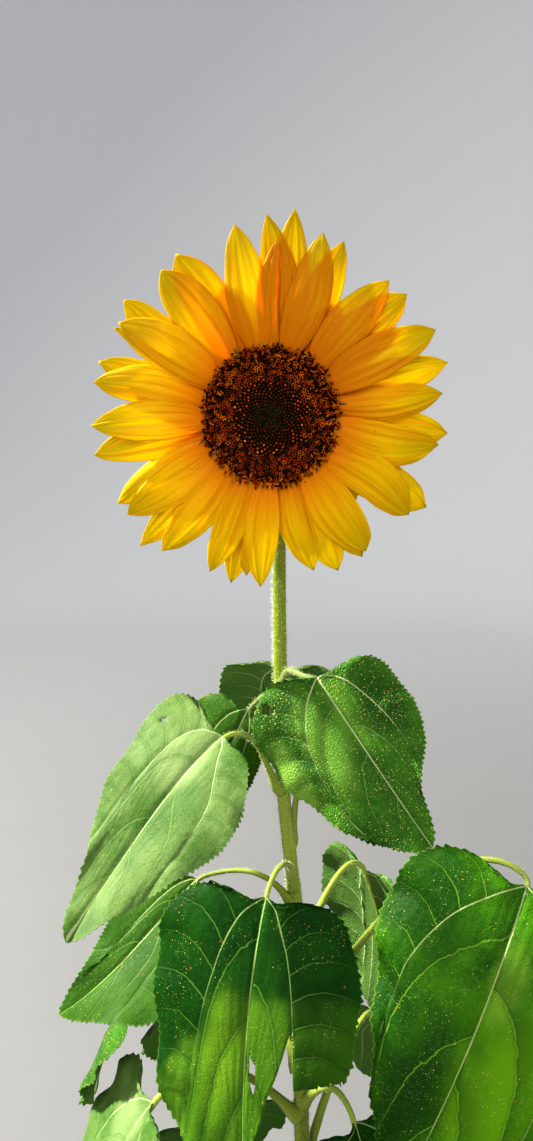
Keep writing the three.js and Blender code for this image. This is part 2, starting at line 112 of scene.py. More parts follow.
# ---------------------------------------------------------------- meshes
def piece(name, verts, faces, materials, index=None, corner=None, vector=None, uv=None, shade=True):
    """A mesh object from vertices in mm and a list of face arrays. corner and vector hold
    attributes by name, one number or three for each face corner."""
    verts = np.asarray(verts, float)
    faces = [np.asarray(f, int) for f in faces if len(f)]
    flat = np.concatenate([f.ravel() for f in faces])
    counts = np.concatenate([np.full(len(f), f.shape[1]) for f in faces])
    starts = np.concatenate([[0], np.cumsum(counts)[:-1]])
    me = bpy.data.meshes.new(name)
    me.vertices.add(len(verts))
    me.vertices.foreach_set("co", (verts * MM).ravel())
    me.loops.add(len(flat))
    me.loops.foreach_set("vertex_index", flat.astype(np.int32))
    me.polygons.add(len(counts))
    me.polygons.foreach_set("loop_start", starts.astype(np.int32))
    if index is not None:
        me.polygons.foreach_set("material_index", np.asarray(index, np.int32))
    me.update(calc_edges=True)
    me.polygons.foreach_set("use_smooth", np.full(len(counts), bool(shade)))
    for k, a in (corner or {}).items():
        me.attributes.new(k, "FLOAT", "CORNER").data.foreach_set("value", np.asarray(a, np.float32).ravel())
    for k, a in (vector or {}).items():
        me.attributes.new(k, "FLOAT_VECTOR", "CORNER").data.foreach_set("vector", np.asarray(a, np.float32).ravel())
    if uv is not None:
        me.uv_layers.new(name="OFBake").data.foreach_set("uv", np.asarray(uv, np.float32).ravel())
    for m in materials if isinstance(materials, (list, tuple)) else [materials]:
        me.materials.append(m)
    me.update()
    ob = bpy.data.objects.new(name, me)
    bpy.context.scene.collection.objects.link(ob)
    return ob


def tidy(quads):
    """Quads whose neighbours coincide become triangles. Returns (quads, tris, keepers of each,
    corner columns of each)."""
    q = np.asarray(quads, int)
    same = np.stack([q[:, k] == q[:, (k + 1) % 4] for k in range(4)], 1)
    n = same.sum(1)
    whole = np.where(n == 0)[0]
    tri_rows, tri_cols = [], []
    for k in range(4):
        rows = np.where((n == 1) & same[:, k])[0]
        cols = [c for c in range(4) if c != (k + 1) % 4]
        tri_rows.append(rows)
        tri_cols.append(np.tile(cols, (len(rows), 1)))
    return whole, np.concatenate(tri_rows), np.concatenate(tri_cols)


def frames(path, hint):
    """Unit tangents and two sideways directions carried along a path without twist."""
    path = np.asarray(path, float)
    T = unit(np.gradient(path, axis=0))
    X = np.zeros_like(T)
    x = np.asarray(hint, float)
    for i in range(len(path)):
        x = x - T[i] * (x @ T[i])
        x = x / np.linalg.norm(x)
        X[i] = x
    return T, X, np.cross(T, X)


def tube(path, radius, sides, hint=(0, 0, 1), shape=None):
    """A closed tube round a path. radius is one number for each point, shape(t, angle) an
    extra factor. Returns vertices, quads, cap triangles, and t and angle for each vertex."""
    path = np.asarray(path, float)
    n = len(path)
    T, X, Y = frames(path, hint)
    s = np.concatenate([[0], np.cumsum(np.linalg.norm(np.diff(path, axis=0), axis=1))])
    a = 2 * np.pi * np.arange(sides) / sides
    r = np.asarray(radius, float)[:, None] * np.ones(sides)[None]
    if shape is not None:
        r = r * shape(s[:, None] * np.ones(sides)[None], a[None] * np.ones(n)[:, None])
    V = path[:, None] + X[:, None] * (np.cos(a)[None, :, None] * r[..., None]) + Y[:, None] * (np.sin(a)[None, :, None] * r[..., None])
    V = V.reshape(-1, 3)
    i, k = np.meshgrid(np.arange(n - 1), np.arange(sides), indexing="ij")
    a0, b0 = i * sides + k, i * sides + (k + 1) % sides
    quads = np.stack([a0, b0, b0 + sides, a0 + sides], -1).reshape(-1, 4)
    V = np.vstack([V, path[0], path[-1]])
    c0, c1 = len(V) - 2, len(V) - 1
    k = np.arange(sides)
    low = np.stack([np.full(sides, c0), (k + 1) % sides, k], -1)
    top = (n - 1) * sides
    high = np.stack([np.full(sides, c1), top + k, top + (k + 1) % sides], -1)
    along = np.concatenate([np.repeat(s, sides), [s[0], s[-1]]])
    turn = np.concatenate([np.tile(a, n), [0, 0]])
    return V, quads, np.vstack([low, high]), along, turn


def tube_uv(n, sides, quads, caps):
    """Corner places on the bake map for a tube: its skin unrolled, its caps in a corner."""
    row, col = quads[:, 0] // sides, quads[:, 0] % sides
    x0, x1 = col / sides, (col + 1) / sides
    y0, y1 = row / (n - 1), (row + 1) / (n - 1)
    q = np.stack([np.stack([x0, y0], -1), np.stack([x1, y0], -1), np.stack([x1, y1], -1), np.stack([x0, y1], -1)], 1)
    q = q * [0.96, 0.94] + [0.02, 0.04]
    m = len(caps) // 2
    a = 2 * np.pi * np.arange(m) / m
    ring = lambda c: np.stack([np.tile(c, (m, 1)), c + 0.014 * np.stack([np.cos(a), np.sin(a)], -1),
                               c + 0.014 * np.stack([np.cos(a + 2 * np.pi / m), np.sin(a + 2 * np.pi / m)], -1)], 1)
    return np.concatenate([q.reshape(-1, 2), ring(np.array([0.1, 0.02])).reshape(-1, 2), ring(np.array([0.2, 0.02])).reshape(-1, 2)])


def stamp(template, place, X, Y, Z):
    """Copies of a template (vertices, triangles) at each place along its own three axes."""
    V, F = template
    n = len(place)
    out = place[:, None] + X[:, None] * V[None, :, 0:1] + Y[:, None] * V[None, :, 1:2] + Z[:, None] * V[None, :, 2:3]
    faces = (np.asarray(F)[None] + (np.arange(n) * len(V))[:, None, None]).reshape(-1, np.asarray(F).shape[1])
    return out.reshape(-1, 3), faces


def ride(ob, slot, *nodes):
    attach(ob, "root")
    if nodes:
        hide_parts(*nodes)


# ---------------------------------------------------------------- materials
class Mat:
    """A small writer of shader nodes: each call makes a node and gives its socket."""

    def __init__(self, name):
        self.m = bpy.data.materials.new(name)
        self.m.use_nodes = True
        self.t = self.m.node_tree
        self.t.nodes.clear()

    def put(self, sock, value):
        if isinstance(value, bpy.types.NodeSocket):
            self.t.links.new(value, sock)
        elif isinstance(value, (tuple, list)) and len(value) == 3 and sock.type == "RGBA":
            sock.default_value = (*value, 1)
        else:
            sock.default_value = value

    def node(self, kind, sockets=None, **props):
        n = self.t.nodes.new("ShaderNode" + kind)
        for k, v in props.items():
            setattr(n, k, v)
        for k, v in (sockets or {}).items():
            self.put(n.inputs[k], v)
        return n

    def math(self, op, a, b=0.0, c=0.0, clamp=False):
        return self.node("Math", {0: a, 1: b, 2: c}, operation=op, use_clamp=clamp).outputs[0]

    def add(self, a, b):
        return self.math("ADD", a, b)

    def sub(self, a, b):
        return self.math("SUBTRACT", a, b)

    def mul(self, a, b):
        return self.math("MULTIPLY", a, b)

    def step(self, x, lo, hi, a=0.0, b=1.0):
        """a where x is lo, b where it is hi, smooth between."""
        return self.node("MapRange", {0: x, 1: lo, 2: hi, 3: a, 4: b}, interpolation_type="SMOOTHSTEP").outputs[0]

    def mix(self, f, a, b, how="MIX"):
        n = self.node("Mix", None, data_type="RGBA", blend_type=how)
        self.put(n.inputs[0], f)
        self.put(n.inputs[6], a)
        self.put(n.inputs[7], b)
        return n.outputs[2]

    def attr(self, name):
        n = self.node("Attribute", None, attribute_name=name, attribute_type="GEOMETRY")
        return n

    def split(self, v):
        n = self.node("SeparateXYZ", {0: v})
        return n.outputs[0], n.outputs[1], n.outputs[2]

    def join(self, x, y, z):
        return self.node("CombineXYZ", {0: x, 1: y, 2: z}).outputs[0]

    def noise(self, p, scale, detail=3.0, rough=0.55, dist=0.0):
        n = self.node("TexNoise", {"Vector": p, "Scale": scale, "Detail": detail, "Roughness": rough, "Distortion": dist})
        return n.outputs[0]

    def cells(self, p, scale, feature="F1", rand=1.0, dims="3D"):
        return self.node("TexVoronoi", {"Vector": p, "Scale": scale, "Randomness": rand}, voronoi_dimensions=dims, feature=feature)

    def object(self):
        return self.node("TexCoord").outputs["Object"]

    def bump(self, height, strength, distance):
        return self.node("Bump", {"Height": height, "Strength": strength, "Distance": distance}).outputs[0]

    def surface(self, color, rough, normal=None, glow=None, glow_part=0.0, spec=0.4, sheen=0.0):
        sock = {"Base Color": color, "Roughness": rough, "Specular IOR Level": spec}
        if sheen:
            sock["Sheen Weight"] = sheen
            sock["Sheen Roughness"] = 0.4
        p = self.node("BsdfPrincipled", sock)
        if normal is not None:
            self.put(p.inputs["Normal"], normal)
        last = p.outputs[0]
        if glow is not None:
            t = self.node("BsdfTranslucent", {"Color": glow})
            if normal is not None:
                self.put(t.inputs["Normal"], normal)
            mx = self.node("MixShader", {0: glow_part})
            self.put(mx.inputs[1], last)
            self.put(mx.inputs[2], t.outputs[0])
            last = mx.outputs[0]
        out = self.node("OutputMaterial")
        self.t.links.new(last, out.inputs[0])
        return self.m


def leaf_material(name, deep, bright, vein, rib, back, glow, glow_part, rough, net_part=0.16, grains=0.5, spec=0.16,
                  relief=0.30, quilt=0.22, sparse=0.25, fold=0.25, sun_patch=None, sun_and_shade_patches=()):
    """A leaf's two faces. flat is (across, along, 1 on the underside) in mm, vein is (row,
    row spacing, way to the basal side vein), tone is (way to the margin, seed, share of the
    way to the tip)."""
    m = Mat(name)
    u, v, under = m.split(m.attr("flat").outputs["Vector"])
    row, gap, lat = m.split(m.attr("vein").outputs["Vector"])
    edge, seed, far = m.split(m.attr("tone").outputs["Vector"])
    P = m.join(m.add(u, m.mul(seed, 613.0)), m.add(v, m.mul(seed, 211.0)), m.mul(under, 40.0))
    wob = m.sub(m.noise(P, 0.12, 2.0), 0.5)
    row = m.add(row, m.mul(wob, 0.16))
    fr = m.math("FRACT", m.add(row, 0.5))
    side = m.mul(m.math("ABSOLUTE", m.sub(fr, 0.5)), gap)
    w2 = m.step(edge, 2.0, 40.0, 0.14, 0.34)
    sec = m.step(side, m.mul(w2, 0.4), m.mul(w2, 1.7), 1.0, 0.0)
    sec = m.mul(sec, m.step(edge, 0.0, 30.0, 0.35, 1.0))
    wl = m.step(far, 0.0, 0.8, 0.33, 0.12)
    latm = m.step(lat, m.mul(wl, 0.5), m.mul(wl, 1.4), 1.0, 0.0)
    wm = m.step(far, 0.0, 1.0, 0.46, 0.20)
    mid = m.step(m.math("ABSOLUTE", u), m.mul(wm, 0.5), m.mul(wm, 1.25), 1.0, 0.0)
    warp = m.noise(P, 0.5, 2.0)
    Q = m.join(m.add(m.add(u, m.mul(seed, 613.0)), m.mul(warp, 1.6)), m.add(m.add(v, m.mul(seed, 211.0)), m.mul(warp, -1.3)), m.mul(under, 40.0))
    net = m.cells(Q, 0.24, "DISTANCE_TO_EDGE", dims="2D").outputs[0]
    net1 = m.step(net, 0.012, 0.055, 1.0, 0.0)
    fine = m.cells(Q, 0.62, "DISTANCE_TO_EDGE", dims="2D").outputs[0]
    net2 = m.step(fine, 0.03, 0.16, 1.0, 0.0)
    big = m.noise(P, 0.028, 3.0, 0.6)
    small = m.noise(P, 0.35, 4.0, 0.65)
    c = m.mix(m.step(big, 0.3, 0.72), deep, bright)
    c = m.mix(m.step(small, 0.35, 0.75, 0.0, 0.35), c, bright)
    c = m.mix(m.step(small, 0.48, 0.22, 0.0, 0.55), c, deep)
    if sun_patch:
        # Painted sunlight: a lit patch of lighter green on the outer half, up to the torn side.
        reach = m.add(far, m.add(m.mul(m.math("MINIMUM", u, 0.0), 0.0075), m.mul(m.sub(m.noise(P, 0.045, 2.0), 0.5), 0.45)))
        c = m.mix(m.mul(m.mul(m.step(reach, 0.24, 0.42), m.step(u, -50.0, -33.0, 0.2, 1.0)), m.step(u, 15.0, 26.0, 0.74, 0.26)), c, sun_patch)
    # Painted sunlight and shade: soft-edged patches of a lighter or deeper green, each given as (across, along, half
    # width, half length, strength, colour).
    if sun_and_shade_patches:
        drift = m.mul(m.sub(m.noise(P, 0.05, 2.0), 0.5), 0.9)
        for cu, cv, ru, rv, part, color in sun_and_shade_patches:
            du, dv = m.mul(m.sub(u, cu), 1.0 / ru), m.mul(m.sub(v, cv), 1.0 / rv)
            away = m.add(m.math("SQRT", m.add(m.mul(du, du), m.mul(dv, dv))), drift)
            c = m.mix(m.step(away, 0.35, 1.35, part, 0.0), c, color)
    # Painted shade: darker in the hollows beside the veins and, by fold, across each row towards the next vein; paler
    # on the swellings between them.
    c = m.mix(m.step(side, 0.3, 2.2, 0.38, 0.0), c, deep)
    c = m.mix(m.mul(m.step(m.math("FRACT", row), 0.25, 0.98, 0.0, fold), m.step(edge, 0.0, 14.0)), c, deep)
    c = m.mix(m.mul(net2, net_part * 0.6), c, vein)
    c = m.mix(m.mul(net1, net_part), c, vein)
    c = m.mix(m.mul(sec, 0.62), c, vein)
    c = m.mix(m.mul(latm, m.step(far, 0.12, 0.55, 0.85, 0.20)), c, rib)
    c = m.mix(m.mul(mid, 0.95), c, rib)
    rim = m.step(edge, 0.15, 0.9, 0.5, 0.0)
    c = m.mix(rim, c, vein)
    # Grains of pollen, pale, yellow and orange, and rust-coloured flecks.
    where = m.step(m.noise(P, 0.045, 2.0), 0.34, 0.60)
    dots = []
    for scale, lo, hi, keep, part, color in ((0.80, 0.10, 0.22, 0.58, 0.6, (0.38, 0.52, 0.16)), (0.42, 0.07, 0.14, 0.66, 0.9, (0.74, 0.62, 0.10)),
                                             (0.16, 0.03, 0.065, 0.66, 1.0, (0.72, 0.28, 0.02))):
        spots = m.cells(m.join(m.add(m.add(u, m.mul(under, 400.0)), 900.0 * scale), m.add(v, m.mul(seed, 97.0)), 0.0), scale, dims="2D")
        pick = m.split(spots.outputs["Color"])[0]
        dot = m.mul(m.step(spots.outputs["Distance"], lo, hi, 1.0, 0.0), m.step(m.add(pick, m.mul(where, 0.30)), keep + sparse, keep + sparse + 0.03))
        dot = m.mul(dot, grains * part)
        c = m.mix(dot, c, color)
        dots.append(dot)
    dot = m.add(dots[0], m.add(dots[1], dots[2]))
    cells3 = m.cells(m.join(m.add(u, 171.0), m.add(v, m.mul(seed, 300.0)), 0.0), 0.05, dims="2D")
    pick3 = m.split(cells3.outputs["Color"])[2]
    rust = m.mul(m.step(m.add(cells3.outputs["Distance"], m.mul(small, 0.03)), 0.035, 0.05, 1.0, 0.0), m.step(pick3, 0.84, 0.86))
    c = m.mix(m.mul(rust, 0.7), c, (0.22, 0.09, 0.015))
    # The underside is paler, with the same veins standing out.
    pale = m.mix(m.mul(net1, 0.35), back, vein)
    pale = m.mix(m.step(small, 0.3, 0.8, 0.0, 0.3), pale, bright)
    pale = m.mix(m.mul(sec, 0.8), pale, rib)
    pale = m.mix(m.mul(latm, 0.9), pale, rib)
    pale = m.mix(m.mul(mid, 0.95), pale, rib)
    c = m.mix(under, c, pale)
    h = m.add(m.mul(m.step(net, 0.0, 0.30), 0.30), m.mul(m.step(fine, 0.0, 0.35), quilt))
    h = m.add(h, m.mul(small, 0.45))
    h = m.sub(h, m.mul(sec, 0.8))
    h = m.add(h, m.mul(dot, 0.5))
    bump = m.bump(h, relief, 0.0007)
    r = m.step(small, 0.25, 0.8, rough - 0.06, rough + 0.12)
    r = m.mix(under, m.join(r, r, r), m.join(0.72, 0.72, 0.72))
    r = m.split(r)[0]
    return m.surface(c, r, bump, m.mix(0.5, c, glow), glow_part, spec=spec)


def petal_material(name):
    """A ray petal. ray is (share of the way to the tip, -1 to 1 across, seed)."""
    m = Mat(name)
    s, c, seed = m.split(m.attr("ray").outputs["Vector"])
    line = m.noise(m.join(m.mul(c, 5.5), m.mul(s, 0.8), m.mul(seed, 9.0)), 1.0, 2.0, 0.55)
    fine = m.noise(m.join(m.mul(c, 17.0), m.mul(s, 1.6), m.mul(seed, 5.0)), 1.0, 2.0, 0.6)
    patch = m.noise(m.join(c, m.mul(s, 1.4), m.mul(seed, 7.0)), 1.6, 3.0, 0.55)
    base = m.mix(m.step(s, 0.0, 0.55), (0.92, 0.34, 0.0), (0.93, 0.63, 0.0))
    base = m.mix(m.step(s, 0.40, 0.95), base, (0.68, 0.50, 0.0))
    base = m.mix(m.step(patch, 0.42, 0.75, 0.0, 0.40), base, (0.95, 0.43, 0.0))
    # Painted shade: darker lines along the pleats' grooves; the same lines also set the bump and dim the light let
    # through.
    groove = m.step(line, 0.50, 0.64)
    base = m.mix(m.mul(groove, m.step(s, 0.1, 0.6, 0.25, 0.62)), base, (0.82, 0.34, 0.0))
    base = m.mix(m.step(fine, 0.52, 0.8, 0.0, 0.3), base, (0.98, 0.70, 0.002))
    base = m.mix(m.step(s, 0.0, 0.34, 0.62, 0.0), base, (0.84, 0.21, 0.0))
    # Painted shade where another petal lies behind: less light comes through there, so the colour and the light let
    # through are both darkened to a deeper orange.
    overlap_shade = m.attr("overlap_shade").outputs["Fac"]
    top_shade = m.attr("top_shade").outputs["Fac"]
    # Painted shade: the outer halves of the petals at the top of the head turn a duller olive.
    base = m.mix(m.mul(m.mul(top_shade, m.step(s, 0.35, 0.8)), 0.45), base, (0.58, 0.36, 0.0))
    base = m.mix(m.mul(overlap_shade, 0.80), base, (0.80, 0.225, 0.0))
    rim = m.step(m.math("ABSOLUTE", c), 0.93, 1.0)
    base = m.mix(m.mul(rim, 0.35), base, (0.80, 0.42, 0.002))
    tip = m.mul(m.step(s, 0.95, 1.0), m.step(patch, 0.3, 0.7))
    base = m.mix(m.mul(tip, 0.5), base, (0.50, 0.32, 0.02))
    spots = m.cells(m.join(m.mul(c, 9.0), m.mul(s, 60.0), m.mul(seed, 50.0)), 0.20)
    pick = m.split(spots.outputs["Color"])[0]
    dot = m.mul(m.step(spots.outputs["Distance"], 0.05, 0.09, 1.0, 0.0), m.step(pick, 0.88, 0.90))
    base = m.mix(m.mul(dot, 0.75), base, (0.26, 0.06, 0.01))
    h = m.sub(m.mul(fine, 0.4), m.mul(groove, 0.9))
    bump = m.bump(h, 0.5, 0.0006)
    r = m.step(line, 0.3, 0.7, 0.40, 0.56)
    through = m.mix(m.step(s, 0.0, 0.6), (0.95, 0.45, 0.0), (0.96, 0.77, 0.0))
    through = m.mix(m.step(s, 0.5, 1.0), through, (0.68, 0.55, 0.0))
    through = m.mix(m.mul(groove, 0.45), through, (0.80, 0.46, 0.0))
    through = m.mix(m.mul(overlap_shade, 0.90), through, (0.66, 0.17, 0.0))
    return m.surface(base, r, bump, through, 0.50, spec=0.06)


def stalk_material(name, low, high, warm, shade, bump_up=0.5, pale=None):
    """Stem and leaf stalks. skin is (mm along, turn in radians, share of the way up)."""
    m = Mat(name)
    s, a, t = m.split(m.attr("skin").outputs["Vector"])
    round_ = m.join(m.mul(m.math("COSINE", a), 2.2), m.mul(m.math("SINE", a), 2.2), m.mul(s, 0.02))
    streak = m.noise(round_, 2.6, 4.0, 0.65)
    broad = m.noise(m.join(m.math("COSINE", a), m.math("SINE", a), m.mul(s, 0.012)), 1.1, 3.0, 0.6)
    fine = m.noise(m.join(m.mul(m.math("COSINE", a), 3.0), m.mul(m.math("SINE", a), 3.0), m.mul(s, 0.35)), 2.0, 4.0, 0.7)
    c = m.mix(m.step(t, 0.0, 1.0), low, high)
    # Painted light: a paler band on the stem from about two thirds to nine tenths of the way up, where the leaves above
    # shade it.
    if pale:
        c = m.mix(m.mul(m.mul(m.step(t, 0.66, 0.76), m.step(t, 0.84, 0.90, 1.0, 0.0)), 0.8), c, pale)
    c = m.mix(m.step(streak, 0.38, 0.68, 0.0, 0.7), c, warm)
    c = m.mix(m.step(broad, 0.5, 0.78, 0.0, 0.55), c, shade)
    c = m.mix(m.step(fine, 0.60, 0.8, 0.0, 0.40), c, (0.42, 0.48, 0.12))
    pores = m.cells(m.join(m.mul(a, 6.0), m.mul(s, 0.8), 0.0), 1.1)
    dot = m.step(pores.outputs["Distance"], 0.08, 0.2, 1.0, 0.0)
    c = m.mix(m.mul(dot, 0.40), c, (0.50, 0.55, 0.20))
    h = m.add(m.mul(streak, 1.2), m.add(m.mul(fine, 0.5), m.mul(dot, 0.6)))
    bump = m.bump(h, bump_up, 0.0006)
    return m.surface(c, m.step(fine, 0.3, 0.8, 0.5, 0.7), bump, spec=0.18)


def plain(name, color, rough=0.6, grain=900.0, change=0.3, spec=0.3, glow=None, part=0.0):
    """A small thing's colour with a fine grain in it."""
    m = Mat(name)
    n = m.noise(m.object(), grain, 3.0, 0.6)
    dark = tuple(x * (1 - change) for x in color)
    lit = tuple(min(1.0, x * (1 + change)) for x in color)
    c = m.mix(m.step(n, 0.3, 0.7), dark, lit)
    return m.surface(c, rough, m.bump(n, 0.3, 0.0002), glow, part, spec=spec)


DARK_LEAF = leaf_material("leaf_deep", (0.001, 0.020, 0.001), (0.005, 0.048, 0.001), (0.026, 0.105, 0.005), (0.20, 0.30, 0.07),
                          (0.040, 0.11, 0.012), (0.09, 0.38, 0.001), 0.14, 0.54, 0.10, 0.35, 0.03, 0.22, 0.22, 0.44)
# Leaf d: its sun patch and its two patches paint a sunlit area and a shaded one.
TORN_LEAF = leaf_material("leaf_torn", (0.001, 0.020, 0.001), (0.005, 0.048, 0.001), (0.070, 0.190, 0.016), (0.24, 0.36, 0.10),
                          (0.040, 0.11, 0.012), (0.10, 0.40, 0.001), 0.14, 0.54, 0.05, 0.55, 0.03, 0.26, 0.30, 0.52, 0.30, (0.066, 0.175, 0.006),
                          ((-12, 78, 10, 30, 0.60, (0.150, 0.330, 0.010)), (-50, 11, 16, 16, 0.45, (0.001, 0.020, 0.001))))
MID_LEAF = leaf_material("leaf_fresh", (0.009, 0.062, 0.001), (0.044, 0.170, 0.005), (0.15, 0.30, 0.05), (0.48, 0.56, 0.26),
                         (0.07, 0.15, 0.025), (0.22, 0.54, 0.004), 0.16, 0.50, 0.10, 1.0, 0.07, 0.60, 0.75, 0.22)
# Leaf a: its patches paint sunlit and shaded areas on the blade.
GRAINY_LEAF = leaf_material("leaf_grainy", (0.009, 0.062, 0.001), (0.044, 0.170, 0.005), (0.15, 0.30, 0.05), (0.48, 0.56, 0.26),
                         (0.07, 0.15, 0.025), (0.22, 0.54, 0.004), 0.16, 0.50, 0.10, 1.0, 0.07, 0.60, 0.75, 0.22, 0.25, None,
                         ((-16, 30, 10, 30, 0.80, (0.17, 0.40, 0.035)), (3, 20, 8, 25, 0.50, (0.13, 0.32, 0.02)),
                          (-41, 37, 9, 20, 0.75, (0.19, 0.38, 0.04)), (20, 26, 13, 22, 0.92, (0.005, 0.045, 0.001)),
                          (-28, 2, 16, 11, 0.70, (0.008, 0.055, 0.001))))
# Leaf g: its patches paint sunlit and shaded areas on the blade.
LUSH_LEAF = leaf_material("leaf_lush", (0.003, 0.042, 0.001), (0.058, 0.238, 0.001), (0.17, 0.36, 0.02), (0.44, 0.55, 0.20),
                          (0.07, 0.16, 0.02), (0.30, 0.74, 0.001), 0.30, 0.50, 0.08, 0.90, 0.05, 0.34, 0.40, 0.50, 0.55, None,
                          ((18, 100, 24, 48, 0.80, (0.130, 0.350, 0.001)), (6, 48, 9, 20, 0.70, (0.190, 0.400, 0.020)),
                           (-17, 120, 20, 48, 0.96, (0.002, 0.022, 0.001)), (-50, 24, 30, 32, 0.92, (0.003, 0.040, 0.001)),
                           (-41, 92, 16, 38, 0.75, (0.003, 0.046, 0.001))))
SOFT_LEAF = leaf_material("leaf_soft", (0.010, 0.060, 0.001), (0.042, 0.126, 0.004), (0.12, 0.24, 0.03), (0.38, 0.47, 0.16),
                          (0.07, 0.16, 0.02), (0.20, 0.50, 0.004), 0.18, 0.54, 0.07, 0.45, 0.07, 0.20, 0.22, 0.42)
# The sunlit copy of the leaf skin; its one patch is a painted pale sheen.
PALE_LEAF = leaf_material("leaf_sunlit", (0.026, 0.098, 0.004), (0.145, 0.240, 0.055), (0.165, 0.285, 0.075), (0.40, 0.50, 0.22),
                          (0.12, 0.22, 0.05), (0.30, 0.58, 0.012), 0.20, 0.56, 0.05, 0.35, 0.11, 0.24, 0.34, 0.42, 0.12, None,
                          ((-5, 20, 14, 18, 0.60, (0.270, 0.390, 0.130)),))
PETAL = petal_material("ray_petal")
# The stem skin's last colour is its painted lit band.
STEM_SKIN = stalk_material("stem_skin", (0.080, 0.125, 0.005), (0.140, 0.205, 0.004), (0.250, 0.270, 0.008), (0.050, 0.095, 0.003), 0.5, (0.30, 0.41, 0.045))
# Two copies of one stalk skin, painted light and shade: the lighter one for the other stalks, many of which lie in the
# leaves' shade, the darker one for the stalks of a and e, which the key light falls on in full.
STALK_SKIN = stalk_material("stalk_skin", (0.190, 0.275, 0.018), (0.235, 0.330, 0.045), (0.33, 0.38, 0.055), (0.125, 0.195, 0.010), 0.4)
STALK_SKIN_DIMMED = stalk_material("stalk_skin_upper", (0.110, 0.165, 0.022), (0.150, 0.205, 0.060), (0.18, 0.22, 0.070), (0.080, 0.125, 0.012), 0.4)
HAIR = plain("bristle", (0.70, 0.79, 0.40), 0.5, 400.0, 0.1)
BRACT = plain("bract_skin", (0.10, 0.22, 0.035), 0.62, 260.0, 0.45)
CUP = plain("receptacle_skin", (0.15, 0.27, 0.05), 0.65, 180.0, 0.4)

# ---------------------------------------------------------------- the stem's line
STEM_LINE = np.array([
    [0, 0, 0], [300, -2.5, 2], [620, -4, 4.5], [900, -7.5, 5], [1040, -10, 5], [1100, -11.3, 5], [1122, -12.8, 5],
    [1140, -14.9, 4.9], [1159, -17.1, 4.8], [1177, -19, 4.6], [1197, -21.1, 4.4], [1227, -21.9, 4.2], [1288, -22.9, 3.9],
    [1330, -23.3, 3.6]], float)
STEM_RADII = [[0, 12.5], [10, 10.4], [34, 8.2], [200, 7.6], [500, 6.6], [800, 5.3], [1000, 4.2],
              [1130, 3.6], [1210, 3.5], [1330, 3.35]]
HEAD = np.array([-28.1, -45.0, 1400.0])
NOD = rad(8.0)
FACE = np.array([0, -math.cos(NOD), -math.sin(NOD)])
SIDE = np.array([1.0, 0, 0])
TOP = np.cross(FACE, SIDE)


def stem_centre(z):
    z = np.asarray(z, float)
    return np.stack([np.interp(z, STEM_LINE[:, 0], STEM_LINE[:, 1]), np.interp(z, STEM_LINE[:, 0], STEM_LINE[:, 2]), z], -1)


def stem_radius(z):
    return table(STEM_RADII, z)


def bezier(p0, p1, p2, p3, t):
    t = np.asarray(t, float)[..., None]
    return (1 - t) ** 3 * p0 + 3 * (1 - t) ** 2 * t * p1 + 3 * (1 - t) * t * t * p2 + t ** 3 * p3


